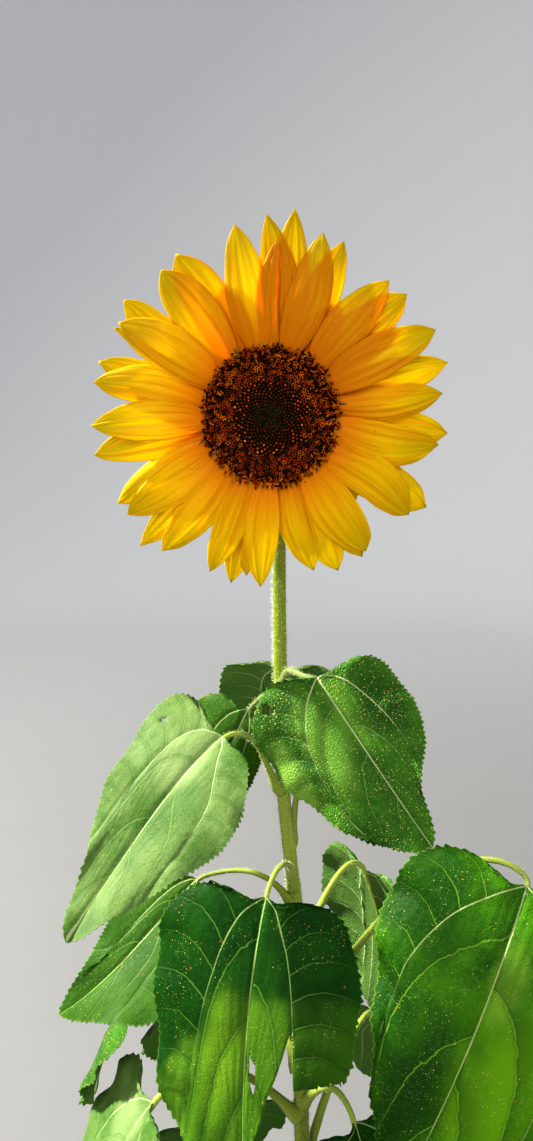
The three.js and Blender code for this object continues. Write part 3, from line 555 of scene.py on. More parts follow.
# ---------------------------------------------------------------- leaves
OVATE = [0.7, 0.6, 0.52, 0.475, 0.445, 0.425, 0.415, 0.41, 0.405, 0.395, 0.35, 0.285, 0.3]
NEAR = [
    dict(name="a", z=1258, start=300, joint=(-4.5, -28, 1270.2), thick=2.3, up=0.42, out=0.1, reach=0.3, ease=0.9,
         az=-31.4, el=-50.6, roll=54.4, length=100.6, bend=14.4, bend2=-5.3, sway=2.2, fold=(8, 8), curl=(35, 55), half=50,
         left=[0.7, 0.455, 0.39, 0.384, 0.367, 0.345, 0.34, 0.355, 0.368, 0.365, 0.32, 0.285, 0.3],
         right=[0.7, 0.619, 0.535, 0.49, 0.468, 0.463, 0.48, 0.5, 0.499, 0.49, 0.45, 0.353, 0.3],
         look="grainy", wave=1.4, pucker=0.75,
         vein_left=[(0, 0), (0.04, 0.014), (0.10, 0.07), (0.144, 0.17), (0.176, 0.29), (0.193, 0.41), (0.195, 0.53)],
         vein_right=[(0, 0), (0.05, 0.032), (0.118, 0.085), (0.18, 0.167), (0.232, 0.272), (0.262, 0.395), (0.272, 0.53), (0.262, 0.67)],
         holes=[[(-33.9, -4.5), (-34.1, -2.7), (-34.2, 0.3), (-31.9, 2.9), (-28.7, 4.1), (-28.0, 2.2), (-29.3, -1.6), (-31.9, -3.7)]]),
    dict(name="b", z=1197, start=227, joint=(-52.7, -30, 1240.2), thick=2.2, up=0.39, out=0.22, reach=0.3, ease=0.47,
         az=-149.2, el=-32.0, roll=-19.8, length=119.8, bend=43.7, bend2=-53.9, sway=21.4, fold=(8, 22), curl=(45, 30), half=45,
         left=[0.7, 0.53, 0.43, 0.375, 0.356, 0.345, 0.337, 0.33, 0.325, 0.333, 0.335, 0.3, 0.3],
         right=[0.7, 0.442, 0.36, 0.316, 0.292, 0.28, 0.285, 0.31, 0.365, 0.42, 0.37, 0.29, 0.3],
         look="pale", wave=0.9, pucker=0.34,
         vein_left=[(0, 0), (0.05, 0.05), (0.134, 0.174), (0.191, 0.292), (0.205, 0.466)],
         vein_right=[(0, 0), (0.05, 0.025), (0.093, 0.053), (0.128, 0.13), (0.145, 0.24), (0.155, 0.40)],
         holes=[[(-30.7, 14.1), (-29.3, 12.9), (-27.2, 14.5), (-28.6, 15.6)]]),
    dict(name="c", z=1128, start=209, joint=(-70, 3, 1142.5), thick=2.1, up=0.49, out=0.27, reach=0.375, ease=0.6,
         az=-152.1, el=-40.2, roll=-19.6, length=99.7, bend=14.3, bend2=-44.8, sway=2.3, fold=(10, 16), curl=(30, 20), half=52,
         left=[0.7, 0.6, 0.56, 0.53, 0.47, 0.42, 0.4, 0.39, 0.385, 0.37, 0.33, 0.288, 0.3],
         right=[0.7, 0.475, 0.37, 0.3, 0.255, 0.235, 0.235, 0.25, 0.28, 0.31, 0.3, 0.27, 0.3],
         look="soft", wave=0.8, pucker=0.3),
    dict(name="d", z=1138, start=272, joint=(-30.5, -46, 1160), thick=2.1, up=0.44, out=0.15, reach=0.35, ease=0.28,
         az=-113.9, el=-57.2, roll=-7.7, length=132.1, bend=34.8, bend2=-17.7, sway=10.8, fold=(10, 10), curl=(40, 40), half=56,
         left=[0.7, 0.52, 0.5, 0.5, 0.457, 0.425, 0.411, 0.407, 0.409, 0.407, 0.357, 0.282, 0.3],
         right=[0.7, 0.651, 0.588, 0.509, 0.441, 0.415, 0.428, 0.436, 0.437, 0.408, 0.345, 0.276, 0.3],
         look="torn", wave=1.4, pucker=0.62,
         vein_left=[(0, 0), (0.05, 0.044), (0.113, 0.167), (0.142, 0.254), (0.163, 0.355), (0.18, 0.49), (0.188, 0.646)],
         vein_right=[(0, 0), (0.078, 0.074), (0.126, 0.179), (0.152, 0.281), (0.173, 0.384), (0.188, 0.50), (0.206, 0.62), (0.228, 0.74)],
         holes=[[(3.3, 73.2), (5.3, 74.6), (6.0, 82.6), (6.0, 89.0), (3.5, 85.9), (2.2, 80.7), (2.4, 75.2)],
                [(21.6, 61.3), (23.6, 61.0), (24.8, 86.2), (35.0, 84.6), (46.4, 82.0), (60.0, 84.5), (60.0, 110.0), (30.0, 135.0),
                 (4.0, 134.0), (3.2, 121.0), (5.6, 111.3), (10.2, 101.0), (12.0, 91.6), (16.1, 81.8), (19.0, 72.2)]]),
    dict(name="e", z=1249, start=185, joint=(-40.7, 9, 1240.4), thick=1.9, up=0.1, out=0.4, reach=0.3, ease=0.6,
         az=205, el=-62, roll=-40, length=84, bend=20, bend2=0, sway=0, fold=(-10, 12), curl=(75, 40), half=32,
         left=[0.7, 0.46, 0.36, 0.3, 0.26, 0.25, 0.25, 0.25, 0.26, 0.27, 0.27, 0.26, 0.3], right=OVATE,
         look="soft", wave=1.0, pucker=0.4),
    dict(name="f", z=1162, start=54, joint=(6, 14, 1218), thick=2.0, up=0.71, out=0.012, reach=0.214, ease=1.43,
         az=6, el=-38, roll=36, length=88, bend=24, bend2=0, sway=0, fold=(8, 8), curl=(36, 40), half=36,
         left=OVATE, right=OVATE, look="deep", wave=1.3, pucker=0.6),
    dict(name="g", z=1050, start=354, joint=(104.6, -38, 1161.4), thick=2.4, up=0.98, out=0.48, reach=0.12, ease=0.98,
         az=-130.1, el=-52.2, roll=-29.3, length=175.9, bend=27.1, bend2=0, sway=-7.2, fold=(10, 10), curl=(38, 42), half=60,
         left=[0.7, 0.56, 0.47, 0.42, 0.4, 0.39, 0.395, 0.405, 0.412, 0.405, 0.36, 0.288, 0.3],
         right=[0.7, 0.525, 0.425, 0.368, 0.346, 0.343, 0.363, 0.396, 0.412, 0.42, 0.376, 0.288, 0.3],
         look="lush", wave=1.6, pucker=0.95,
         vein_left=[(0, 0), (0.05, 0.035), (0.11, 0.09), (0.165, 0.18), (0.205, 0.29), (0.225, 0.42), (0.228, 0.58)],
         vein_right=[(0, 0), (0.05, 0.035), (0.105, 0.085), (0.165, 0.150), (0.215, 0.24), (0.245, 0.345), (0.248, 0.46), (0.230, 0.58)]),
]
RULED = [
    ("h", 1228, 88, 56, 108, 42, -8, 4), ("i", 1018, 122, 86, 146, 48, 6, -4),
    ("j", 1052, 166, 92, 124, 50, 8, 6), ("k", 1000, 300, 62, 146, 62, 6, 0), ("l", 1100, 40, 64, 138, 66, -6, 4),
    ("m", 990, 208, 110, 158, 50, -6, 4), ("n", 950, 58, 112, 182, 42, 8, -4), ("o", 896, 262, 122, 194, 54, 6, 5),
    ("p", 848, 128, 126, 204, 44, -8, 4), ("q", 792, 350, 132, 212, 46, 6, -5), ("r", 738, 206, 136, 218, 46, 4, 3),
    ("s", 676, 70, 134, 216, 46, -6, -4), ("t", 612, 296, 132, 212, 48, 6, 4), ("u", 548, 156, 128, 204, 44, -4, 4),
    ("v", 480, 20, 122, 192, 44, 6, -4), ("w", 410, 246, 112, 176, 42, 4, 4), ("x", 336, 106, 100, 154, 38, -4, 0),
    ("y", 258, 332, 84, 126, 36, 4, 2), ("z", 180, 196, 64, 96, 30, -4, -2),
]
LOOKS = dict(h="mid", i="soft", j="mid", k="deep", l="mid", m="pale", n="soft", o="mid", p="deep", q="soft", r="pale",
             s="mid", t="deep", u="soft", v="mid", w="pale", x="soft", y="pale", z="pale")


def ruled(row):
    name, z, start, stalk, length, droop, turn, roll = row
    out = np.array([math.cos(rad(start)), math.sin(rad(start)), 0])
    joint = stem_centre(z) + out * (stem_radius(z) + stalk * 0.82) + np.array([0, 0, stalk * 0.42])
    return dict(name=name, z=z, start=start, joint=joint, az=start + turn, el=-droop, roll=roll, length=length,
                thick=2 + stalk / 95, bend=34, bend2=-6, sway=turn * 0.4, fold=(13, 13), curl=(40, 40), half=length * 0.4,
                left=OVATE, right=OVATE, look=LOOKS[name], wave=1.0 + length / 220, pucker=0.6)


class Blade:
    """The bent surface of a leaf: across and along in mm, and a lift off the upper face."""

    def __init__(self, o):
        self.o, L = o, o["length"]
        a, e, r = rad(o["az"]), rad(o["el"]), rad(o["roll"])
        T = np.array([math.cos(e) * math.cos(a), math.cos(e) * math.sin(a), math.sin(e)])
        S0 = np.array([-math.sin(a), math.cos(a), 0.0])
        N0 = np.cross(T, S0)
        S = S0 * math.cos(r) + N0 * math.sin(r)
        N = np.cross(T, S)
        f = np.linspace(-0.4, 1.1, 61)
        b = rad(o["bend"]) * f + rad(o["bend2"]) * f * np.abs(f)
        w = rad(o["sway"]) * f
        Tb = np.cos(b)[:, None] * T - np.sin(b)[:, None] * N
        self.N = np.cos(b)[:, None] * N + np.sin(b)[:, None] * T
        self.T = np.cos(w)[:, None] * Tb + np.sin(w)[:, None] * S
        self.S = np.cos(w)[:, None] * S - np.sin(w)[:, None] * Tb
        self.v = f * L
        C = np.zeros((61, 3))
        C[1:] = np.cumsum((self.T[1:] + self.T[:-1]) / 2 * np.diff(self.v)[:, None], axis=0)
        zero = np.array([np.interp(0, self.v, C[:, k]) for k in range(3)])
        self.C = C - zero + np.asarray(o["joint"], float)

    def read(self, A, v):
        return np.stack([np.interp(v, self.v, A[:, k]) for k in range(3)], -1)

    def at(self, u, v, lift=0.0):
        u, v = np.asarray(u, float), np.asarray(v, float)
        C, S, N = self.read(self.C, v), unit(self.read(self.S, v)), unit(self.read(self.N, v))
        left = u >= 0
        q = np.where(left, 1.0, -1.0)
        f = rad(np.where(left, self.o["fold"][0], self.o["fold"][1]))
        k = rad(np.where(left, self.o["curl"][0], self.o["curl"][1])) / self.o["half"]
        w = np.abs(u)
        a = (np.sin(f) - np.sin(f - k * w)) / k
        b = (np.cos(f - k * w) - np.cos(f)) / k
        turn = (f - k * w) * np.clip(w / 3, 0, 1)
        normal = N * np.cos(turn)[..., None] - S * (q * np.sin(turn))[..., None]
        return C + S * (q * a)[..., None] + N * b[..., None] + normal * np.asarray(lift)[..., None]


# The basal side vein on the flat, in shares of the blade's length, and the bearing at which
# it meets the margin.
SIDE_VEIN = [(0, 0), (0.045, 0.030), (0.098, 0.085), (0.140, 0.180), (0.166, 0.300), (0.182, 0.440), (0.196, 0.590)]
MEETS = 25.0


def half_net(o, side, M, R, K, tooth, phase, rng):
    """One half of a blade on the flat. The outer patch runs from the basal side vein to the
    margin, the inner one from the midrib. Rows follow the side veins."""
    L = o["length"]
    prof = o["left"] if side > 0 else o["right"]
    deg = np.linspace(180, 0, 1441)
    r = catmull(prof, deg / 15) * L
    mu, mv = r * np.sin(rad(deg)), 0.3 * L + r * np.cos(rad(deg))
    arc = np.concatenate([[0], np.cumsum(np.hypot(np.diff(mu), np.diff(mv)))])
    cut = np.interp(180 - MEETS, 180 - deg, arc)
    # The basal side vein.
    path = np.array(o.get("vein_left" if side > 0 else "vein_right", SIDE_VEIN), float)
    if "vein_left" not in o:
        path[:, 0] *= catmull(prof, 4.5) / 0.43
    rm = catmull(prof, MEETS / 15)
    path = np.vstack([path, [rm * math.sin(rad(MEETS)), 0.3 + rm * math.cos(rad(MEETS))]]) * L
    where = np.linspace(0, len(path) - 1, 241)
    lu, lv = catmull(path[:, 0], where), catmull(path[:, 1], where)
    ls = np.concatenate([[0], np.cumsum(np.hypot(np.diff(lu), np.diff(lv)))])
    ls /= ls[-1]
    col = (np.arange(M + 1) / M) ** 1.22
    LU, LV = np.interp(col, ls, lu), np.interp(col, ls, lv)
    LU[0], LV[0] = 0, 0

    nrm_u = np.gradient(mv, arc)
    nrm_v = -np.gradient(mu, arc)
    flip = np.sign(nrm_u[700]) or 1

    def margin(s, count, first):
        """Margin points at arc lengths s with teeth that point to the tip."""
        i = np.arange(len(s)) + first
        saw = np.array([0.0, 1.0])[i % 2]
        jit = (0.45 + 0.85 * rng.random(len(s)))[i // 2 % len(s)]
        fade = smooth(0, 10, s) * smooth(0, 7, arc[-1] - s) * (1 - 0.45 * smooth(0.30 * L, 0.05 * L, s))
        amp = tooth * saw * jit * fade
        s2 = s + np.where(i % 2 == 1, 0.32 * (s[1] - s[0]), 0) * fade
        u, v = np.interp(s2, arc, mu), np.interp(s2, arc, mv)
        return u + flip * np.interp(s2, arc, nrm_u) * amp, v + flip * np.interp(s2, arc, nrm_v) * amp

    s_out = np.linspace(0, cut, M + 1)
    s_in = np.linspace(cut, arc[-1], R + 1)
    OU, OV = margin(s_out, M, 0)
    IU, IV = margin(s_in, R, M)
    OU[0], OV[0] = 0, 0
    OU[-1], OV[-1] = LU[-1], LV[-1]
    IU[0], IV[0] = LU[-1], LV[-1]
    IU[-1], IV[-1] = 0, L

    # Outer patch: M rows by K columns.
    t = 1 - (1 - np.arange(K + 1) / K) ** 1.25
    A = np.stack([LU, LV], -1)[:, None]
    B = np.stack([OU, OV], -1)[:, None]
    D = B - A
    bow = np.stack([D[..., 1], -D[..., 0]], -1) * 0.16
    outer = A + D * t[None, :, None] + bow * (4 * t * (1 - t))[None, :, None]
    # Inner patch: R rows by M columns.
    q = np.arange(R + 1) / R
    foot = L * (1 - (1 - q) ** 1.25)
    P0 = np.stack([np.zeros(R + 1), foot], -1)[:, None]
    P3 = np.stack([IU, IV], -1)[:, None]
    chord = np.linalg.norm(P3 - P0, axis=-1)
    th1, th2 = rad(50 - 16 * q), rad(14 + 10 * q)
    P1 = P0 + np.stack([np.sin(th1), np.cos(th1)], -1)[:, None] * (chord * 0.30)[..., None]
    P2 = P3 - np.stack([np.sin(th2), np.cos(th2)], -1)[:, None] * (chord * 0.30)[..., None]
    c = col[None, :, None]
    curve = (1 - c) ** 3 * P0 + 3 * (1 - c) ** 2 * c * P1 + 3 * (1 - c) * c * c * P2 + c ** 3 * P3
    like = P0 * (1 - c) + np.stack([LU, LV], -1)[None] + (P3 - P3[:1]) * c
    w = smooth(0, 0.55, q)[:, None, None]
    inner = like * (1 - w) + curve * w
    inner[0] = np.stack([LU, LV], -1)
    inner[:, -1] = np.stack([IU, IV], -1)
    inner[:, 0] = np.stack([np.zeros(R + 1), foot], -1)

    lat_line = np.stack([lu, lv], -1)[::2]
    out = []
    for grid, veins, share, off in ((outer, o["n_out"], t, 0.0), (inner, o["n_in"], col, phase)):
        n0, n1 = grid.shape[:2]
        row = (np.arange(n0) / (n0 - 1) * veins + off)[:, None] * np.ones(n1)[None]
        dr = np.gradient(grid, axis=0) * (n0 - 1) / veins
        dt = unit(np.gradient(grid, axis=1))
        gap = np.abs(dr[..., 0] * dt[..., 1] - dr[..., 1] * dt[..., 0])
        rowlen = np.linalg.norm(np.diff(grid, axis=1), axis=-1).sum(1)
        edge = (1 - share)[None] * rowlen[:, None]
        flatg = grid.reshape(-1, 2)
        lat = near_line(flatg, lat_line).reshape(n0, n1)
        arcs = (s_out if grid is outer else s_in)[:, None] * np.ones(n1)[None]
        out.append(dict(u=grid[..., 0] * side, v=grid[..., 1], row=row, gap=np.clip(gap, 0.5, 60), edge=edge, lat=lat,
                        share=np.ones(n0)[:, None] * share[None], rowlen=rowlen[:, None] * np.ones(n1)[None], arc=arcs,
                        outer=np.full((n0, n1), float(grid is outer))))
    return out


def near_line(pts, line):
    """Way from each point to an open line."""
    a, ab = line[:-1], np.diff(line, axis=0)
    ap = pts[:, None] - a[None]
    t = np.clip((ap * ab[None]).sum(-1) / np.maximum((ab ** 2).sum(-1), 1e-12)[None], 0, 1)
    return np.linalg.norm(ap - ab[None] * t[..., None], axis=-1).min(1)


def near_polygon(pts, poly):
    """Signed way from each point to a polygon (negative inside), and the nearest place on it."""
    poly = np.asarray(poly, float)
    a, b = poly, np.roll(poly, -1, axis=0)
    ab = b - a
    ap = pts[:, None] - a[None]
    t = np.clip((ap * ab[None]).sum(-1) / np.maximum((ab ** 2).sum(-1), 1e-12)[None], 0, 1)
    near = a[None] + ab[None] * t[..., None]
    d = np.linalg.norm(pts[:, None] - near, axis=-1)
    k = d.argmin(1)
    spot = near[np.arange(len(pts)), k]
    x, y = pts[:, 0:1], pts[:, 1:2]
    cross = ((a[None, :, 1] > y) != (b[None, :, 1] > y)) & (
        x < (b[None, :, 0] - a[None, :, 0]) * (y - a[None, :, 1]) / (b[None, :, 1] - a[None, :, 1] + 1e-12) + a[None, :, 0])
    inside = cross.sum(1) % 2 == 1
    return np.where(inside, -d.min(1), d.min(1)), spot


def build_leaf(o, fine):
    rng = np.random.default_rng(1000 + ord(o["name"]))
    seed = float(rng.random())
    L = o["length"]
    M, R, K = (76, 24, 28) if fine else (56, 16, 18)
    o["n_out"], o["n_in"] = (9, 4) if fine else (8, 4)
    tooth = 0.75 + L / 200
    blade = Blade(o)
    patches = half_net(o, 1, M, R, K, tooth, 0.0, rng) + half_net(o, -1, M, R, K, tooth, 0.5, rng)
    keys = ("u", "v", "row", "gap", "edge", "lat", "share", "rowlen", "arc", "outer")
    N = {k: [] for k in keys}
    patch_faces, base = [], 0
    for n, g in enumerate(patches):
        n0, n1 = g["u"].shape
        i, j = np.meshgrid(np.arange(n0 - 1), np.arange(n1 - 1), indexing="ij")
        a = base + i * n1 + j
        qd = np.stack([a, a + 1, a + n1 + 1, a + n1], -1).reshape(-1, 4)
        patch_faces.append(qd)
        base += n0 * n1
        for k in keys:
            N[k].append(g[k].ravel())
    N = {k: np.concatenate(v) for k, v in N.items()}
    # Every patch turns the same way seen from above.
    uv = np.stack([N["u"], N["v"]], -1)
    for n in range(len(patch_faces)):
        p = uv[patch_faces[n]]
        area = (p[:, 2, 0] - p[:, 0, 0]) * (p[:, 3, 1] - p[:, 1, 1]) - (p[:, 3, 0] - p[:, 1, 0]) * (p[:, 2, 1] - p[:, 0, 1])
        if area.sum() > 0:
            patch_faces[n] = patch_faces[n][:, ::-1]
    quads = np.vstack(patch_faces)
    # Weld the patches.
    key = np.round(uv * 2000).astype(np.int64)
    _, first, weld = np.unique(key, axis=0, return_index=True, return_inverse=True)
    weld = weld.ravel()
    W = uv[first].copy()
    # Holes and notches.
    gone = np.zeros(len(quads), bool)
    for poly in o.get("holes", []):
        step = 1.3 if fine else 3.0
        d, spot = near_polygon(W, poly)
        move = np.abs(d) < step * 0.62
        W[move] = spot[move]
        mid = W[weld[quads]].mean(1)
        dm, _ = near_polygon(mid, poly)
        gone |= dm < 0.02
    quads = quads[~gone]
    fq = weld[quads]
    whole, tr, tc = tidy(fq)
    faces4, faces3 = quads[whole], np.take_along_axis(quads[tr], tc, 1)
    ok = (weld[faces3[:, 0]] != weld[faces3[:, 1]]) & (weld[faces3[:, 1]] != weld[faces3[:, 2]]) & (weld[faces3[:, 0]] != weld[faces3[:, 2]])
    faces3 = faces3[ok]

    # Relief of the upper face.
    val = {k: N[k][first] for k in keys}
    u, v = W[:, 0], W[:, 1]
    far = np.clip(v / L, 0, 1)
    x = np.abs((val["row"] + 0.5) % 1 - 0.5) * 2
    amp = np.clip(val["gap"] * 0.055, 0.05, 0.85) * o["pucker"] * smooth(0, 9, val["edge"] + 3)
    puff = 1 - (1 - x) ** 2
    lift = amp * (puff - 0.62)
    cell = val["share"] * val["rowlen"] / (6.5 if fine else 9.0) + 3.7 * np.sin(np.floor(val["row"]) * 7.3 + seed * 9) + 0.35 * noise2(u / 9, v / 9, seed)
    y = np.abs((cell + 0.5) % 1 - 0.5) * 2
    lift += amp * 0.55 * np.minimum(1, puff * 1.4) * (1 - (1 - y) ** 2 - 0.6)
    lift += 0.55 * noise2(u / 22, v / 22, seed * 30) * smooth(0, 6, np.abs(u)) * (1 + L / 300)
    lift += 0.20 * noise2(u / 5.5, v / 5.5, 4 + seed * 30)
    lift -= 0.85 * np.exp(-(u / 1.7) ** 2) * (1 - 0.6 * far)
    lift -= 0.60 * np.exp(-(val["lat"] / 1.5) ** 2) * (1 - 0.5 * far)
    per = 24 + L * 0.10
    sgn = np.where(u >= 0, 0.0, 2.4)
    ripple = np.sin(2 * np.pi * val["arc"] / per + sgn + 5 * seed + 1.2 * noise2(val["arc"] / 40, sgn, 9))
    lift += o["wave"] * 1.5 * ripple * np.exp(-val["edge"] / (0.11 * L)) * smooth(0, 0.12 * L, val["arc"])
    # Thickness, with veins standing out below.
    ridge = (1.1 * np.exp(-(u / 1.3) ** 2) * (1 - 0.75 * far) + 0.7 * np.exp(-(val["lat"] / 1.0) ** 2) * (1 - 0.6 * far)
             + 0.35 * np.exp(-(x * val["gap"] * 0.5 / 0.8) ** 2) * smooth(0, 12, val["edge"]))
    thick = np.where(val["edge"] < 0.6, 0.28, 0.42) + ridge * smooth(0, 3, val["edge"])
    top = blade.at(u, v, lift)
    low = blade.at(u, v, lift - thick)
    n = len(W)

    # Border: directed edges with no partner.
    def edges(f):
        return np.concatenate([np.stack([f[:, k], f[:, (k + 1) % f.shape[1]]], -1) for k in range(f.shape[1])])

    nodes = np.vstack([edges(faces4), edges(faces3)])
    e = weld[nodes]
    code = e[:, 0] * (n + 1) + e[:, 1]
    back = e[:, 1] * (n + 1) + e[:, 0]
    rim = ~np.isin(code, back)
    en, ew = nodes[rim], e[rim]
    # Bake map: upper face on the left, underside on the right, rim strip just outside.
    lo, hi = W.min(0) - 1, W.max(0) + 1
    size = hi - lo
    k = 0.98 / max(2 * size[0] + 6, size[1])
    place = lambda w, s: (W[w] - lo + [3 + s * (size[0] + 3), 0]) * k * [1, 1] + [0.004, 0.01]
    dirs = W[ew[:, 1]] - W[ew[:, 0]]
    dirs = unit(np.stack([-dirs[:, 1], dirs[:, 0]], -1))
    outn = np.zeros((n, 2))
    np.add.at(outn, ew[:, 0], dirs)
    np.add.at(outn, ew[:, 1], dirs)
    outn = unit(outn)

    V = np.vstack([top, low])
    F4, F3 = weld[faces4], weld[faces3]
    sideq = np.stack([ew[:, 1], ew[:, 0], ew[:, 0] + n, ew[:, 1] + n], -1)
    F4all = [F4, F4[:, ::-1] + n, sideq]
    F3all = [F3, F3[:, ::-1] + n]
    corner_nodes4 = [faces4, faces4[:, ::-1], np.stack([en[:, 1], en[:, 0], en[:, 0], en[:, 1]], -1)]
    corner_nodes3 = [faces3, faces3[:, ::-1]]
    under4 = [np.zeros(faces4.size), np.ones(faces4.size), np.tile([0, 0, 1, 1], len(en)).astype(float) * 0]
    under3 = [np.zeros(faces3.size), np.ones(faces3.size)]
    uv4 = [place(F4.ravel(), 0), place(F4[:, ::-1].ravel(), 1)]
    strip = np.stack([place(ew[:, 1], 0), place(ew[:, 0], 0), place(ew[:, 0], 0) + outn[ew[:, 0]] * 0.0022, place(ew[:, 1], 0) + outn[ew[:, 1]] * 0.0022], 1)
    uv4.append(strip.reshape(-1, 2))
    uv3 = [place(F3.ravel(), 0), place(F3[:, ::-1].ravel(), 1)]
    cn = np.concatenate([c.ravel() for c in corner_nodes4] + [c.ravel() for c in corner_nodes3])
    un = np.concatenate(under4 + under3)
    flat = np.stack([W[weld[cn], 0], W[weld[cn], 1], un], -1)
    vein = np.stack([N["row"][cn], N["gap"][cn], N["lat"][cn]], -1)
    tone = np.stack([N["edge"][cn], np.full(len(cn), seed), np.clip(W[weld[cn], 1] / L, 0, 1)], -1)
    mat = {"deep": DARK_LEAF, "torn": TORN_LEAF, "mid": MID_LEAF, "grainy": GRAINY_LEAF, "lush": LUSH_LEAF, "soft": SOFT_LEAF, "pale": PALE_LEAF}[o["look"]]
    used = np.unique(np.concatenate([f.ravel() for f in F4all + F3all]))
    remap = np.full(len(V), -1)
    remap[used] = np.arange(len(used))
    ob = piece("leaf_blade_" + o["name"], V[used], [remap[f] for f in F4all] + [remap[f] for f in F3all], mat,
               vector=dict(flat=flat, vein=vein, tone=tone), uv=np.concatenate(uv4 + uv3))
    ride(ob, "leaf_green", "leaf_" + o["name"])
    return blade


def petiole_path(o, blade):
    out = np.array([math.cos(rad(o["start"])), math.sin(rad(o["start"])), 0])
    foot = stem_centre(o["z"])
    start = foot + out * (stem_radius(o["z"]) + 0.4)
    joint = np.asarray(o["joint"], float)
    span = np.linalg.norm(start - joint)
    T, N = unit(blade.read(blade.T, 0)), unit(blade.read(blade.N, 0))
    last = unit(T + np.array([0, 0, o.get("ease", 0.35)]))
    end = joint - last * 2.6 - N * 1.4
    a = start + out * span * o.get("out", 0.28) + np.array([0, 0, span * o.get("up", 0.4)])
    b = end - last * span * o.get("reach", 0.38)
    t = np.linspace(0, 1, 26)
    body = bezier(start, a, b, end, t)
    inside = foot + out * (stem_radius(o["z"]) - 2.2) + (start - foot - out * stem_radius(o["z"])) * 0 - np.array([0, 0, 1.0])
    # On past the joint, under the blade, as its midrib.
    L = o["length"]
    vs = np.array([3.0, 7.0, 12.0, 0.17 * L, 0.23 * L, 0.29 * L, 0.35 * L])
    rs = o["thick"] * np.array([0.52, 0.47, 0.43, 0.37, 0.30, 0.20, 0.08])
    under = blade.at(np.zeros(len(vs)), vs, -1.5 - rs * 0.9)
    path = np.vstack([inside, body, under])
    r = o["thick"] * (1 - 0.40 * np.sqrt(t))
    r = r * (1 + 0.75 * np.exp(-t * span / 5.0))
    radius = np.concatenate([[r[0] * 1.15], r, rs])
    return path, radius, out


def build_petiole(o, blade):
    path, radius, out = petiole_path(o, blade)
    s0 = np.concatenate([[0], np.cumsum(np.linalg.norm(np.diff(path, axis=0), axis=1))])
    s = np.linspace(0, s0[-1], 64)
    # Even steps, smoothed so that the way under the blade has no corner.
    P = np.stack([np.interp(s, s0, path[:, k]) for k in range(3)], -1)
    for _ in range(3):
        P[1:-1] = (P[:-2] + 2 * P[1:-1] + P[2:]) / 4
    R = np.interp(s, s0, radius)
    sides = 14
    seed = ord(o["name"])

    def shape(S, A):
        groove = 0.16 * np.exp(-((np.angle(np.exp(1j * (A - np.pi / 2)))) / 0.55) ** 2) * smooth(2, 20, S)
        ribs = 0.035 * np.cos(7 * A + 0.6 * noise2(S / 30, A * 0, seed))
        return 1 - groove + ribs + 0.05 * noise2(S / 7, A * 1.5, seed)

    side = np.cross(unit(out), (0, 0, 1))
    V, quads, caps, along, turn = tube(P, R, sides, hint=side, shape=shape)
    cn = np.concatenate([quads.ravel(), caps.ravel()])
    turn_c = turn[cn]
    wrap = np.concatenate([np.tile([0, 1, 1, 0], len(quads)), np.zeros(caps.size)])
    turn_c = np.where((wrap == 1) & (turn_c == 0), 2 * np.pi, turn_c)
    skin = np.stack([along[cn] + seed * 31, turn_c, along[cn] / along.max()], -1)
    # Stalks a and e take the darker copy, painted shade against the full key light.
    ob = piece("leaf_stalk_" + o["name"], V, [quads, caps], STALK_SKIN_DIMMED if o["name"] in "ae" else STALK_SKIN, vector=dict(skin=skin), uv=tube_uv(len(P), sides, quads, caps))
    ride(ob, "petiole_green", "petiole_" + o["name"])
    return P, R


# ---------------------------------------------------------------- bristles
BRISTLE = (np.array([[1, 0, 0], [-0.5, 0.866, 0], [-0.5, -0.866, 0], [0, 0, 1.0]]), np.array([[0, 1, 3], [1, 2, 3], [2, 0, 3], [0, 2, 1]]))


def bristles_on(P, R, count, rng, length, width=0.055, skip=0.0, lean=0.35):
    """Short stiff hairs standing out from a tube."""
    T, X, Y = frames(P, (1, 0.2, 0))
    s = np.concatenate([[0], np.cumsum(np.linalg.norm(np.diff(P, axis=0), axis=1))])
    at = s[-1] * (skip + (1 - skip) * rng.random(count))
    get = lambda A: np.stack([np.interp(at, s, A[:, k]) for k in range(3)], -1)
    a = 2 * np.pi * rng.random(count)
    out = unit(get(X)) * np.cos(a)[:, None] + unit(get(Y)) * np.sin(a)[:, None]
    base = get(P) + out * (np.interp(at, s, R) * 0.97)[:, None]
    d = unit(out + lean * rng.normal(size=(count, 3)) * 0.7 + get(T) * lean * 0.3)
    x = unit(np.cross(d, rng.normal(size=(count, 3))))
    y = np.cross(d, x)
    ln = length * (0.45 + 0.75 * rng.random(count))
    return base, x * width, y * width, d * ln[:, None]


# ---------------------------------------------------------------- the stem
def stem_path():
    z = np.concatenate([[0, 0.6, 2, 5, 9], np.arange(14, 1330, 3.4), [1330]])
    c = stem_centre(z)
    k = np.ones(9) / 9
    pad = np.vstack([np.repeat(c[:1], 4, 0), c, np.repeat(c[-1:], 4, 0)])
    soft = np.stack([np.convolve(pad[:, i], k, "valid") for i in range(3)], -1)
    soft[:, 2] = z
    soft[:4] = c[:4]
    back = HEAD - FACE * 16.6
    p0 = soft[-1]
    t = np.linspace(0, 1, 34)[1:]
    neck = bezier(p0, p0 + np.array([-1.5, 3, 42]), back - FACE * 30, back, t)
    r = np.concatenate([stem_radius(z), 3.35 + 0.35 * t + 2.5 * smooth(0.72, 1.0, t)])
    return np.vstack([soft, neck]), r, z


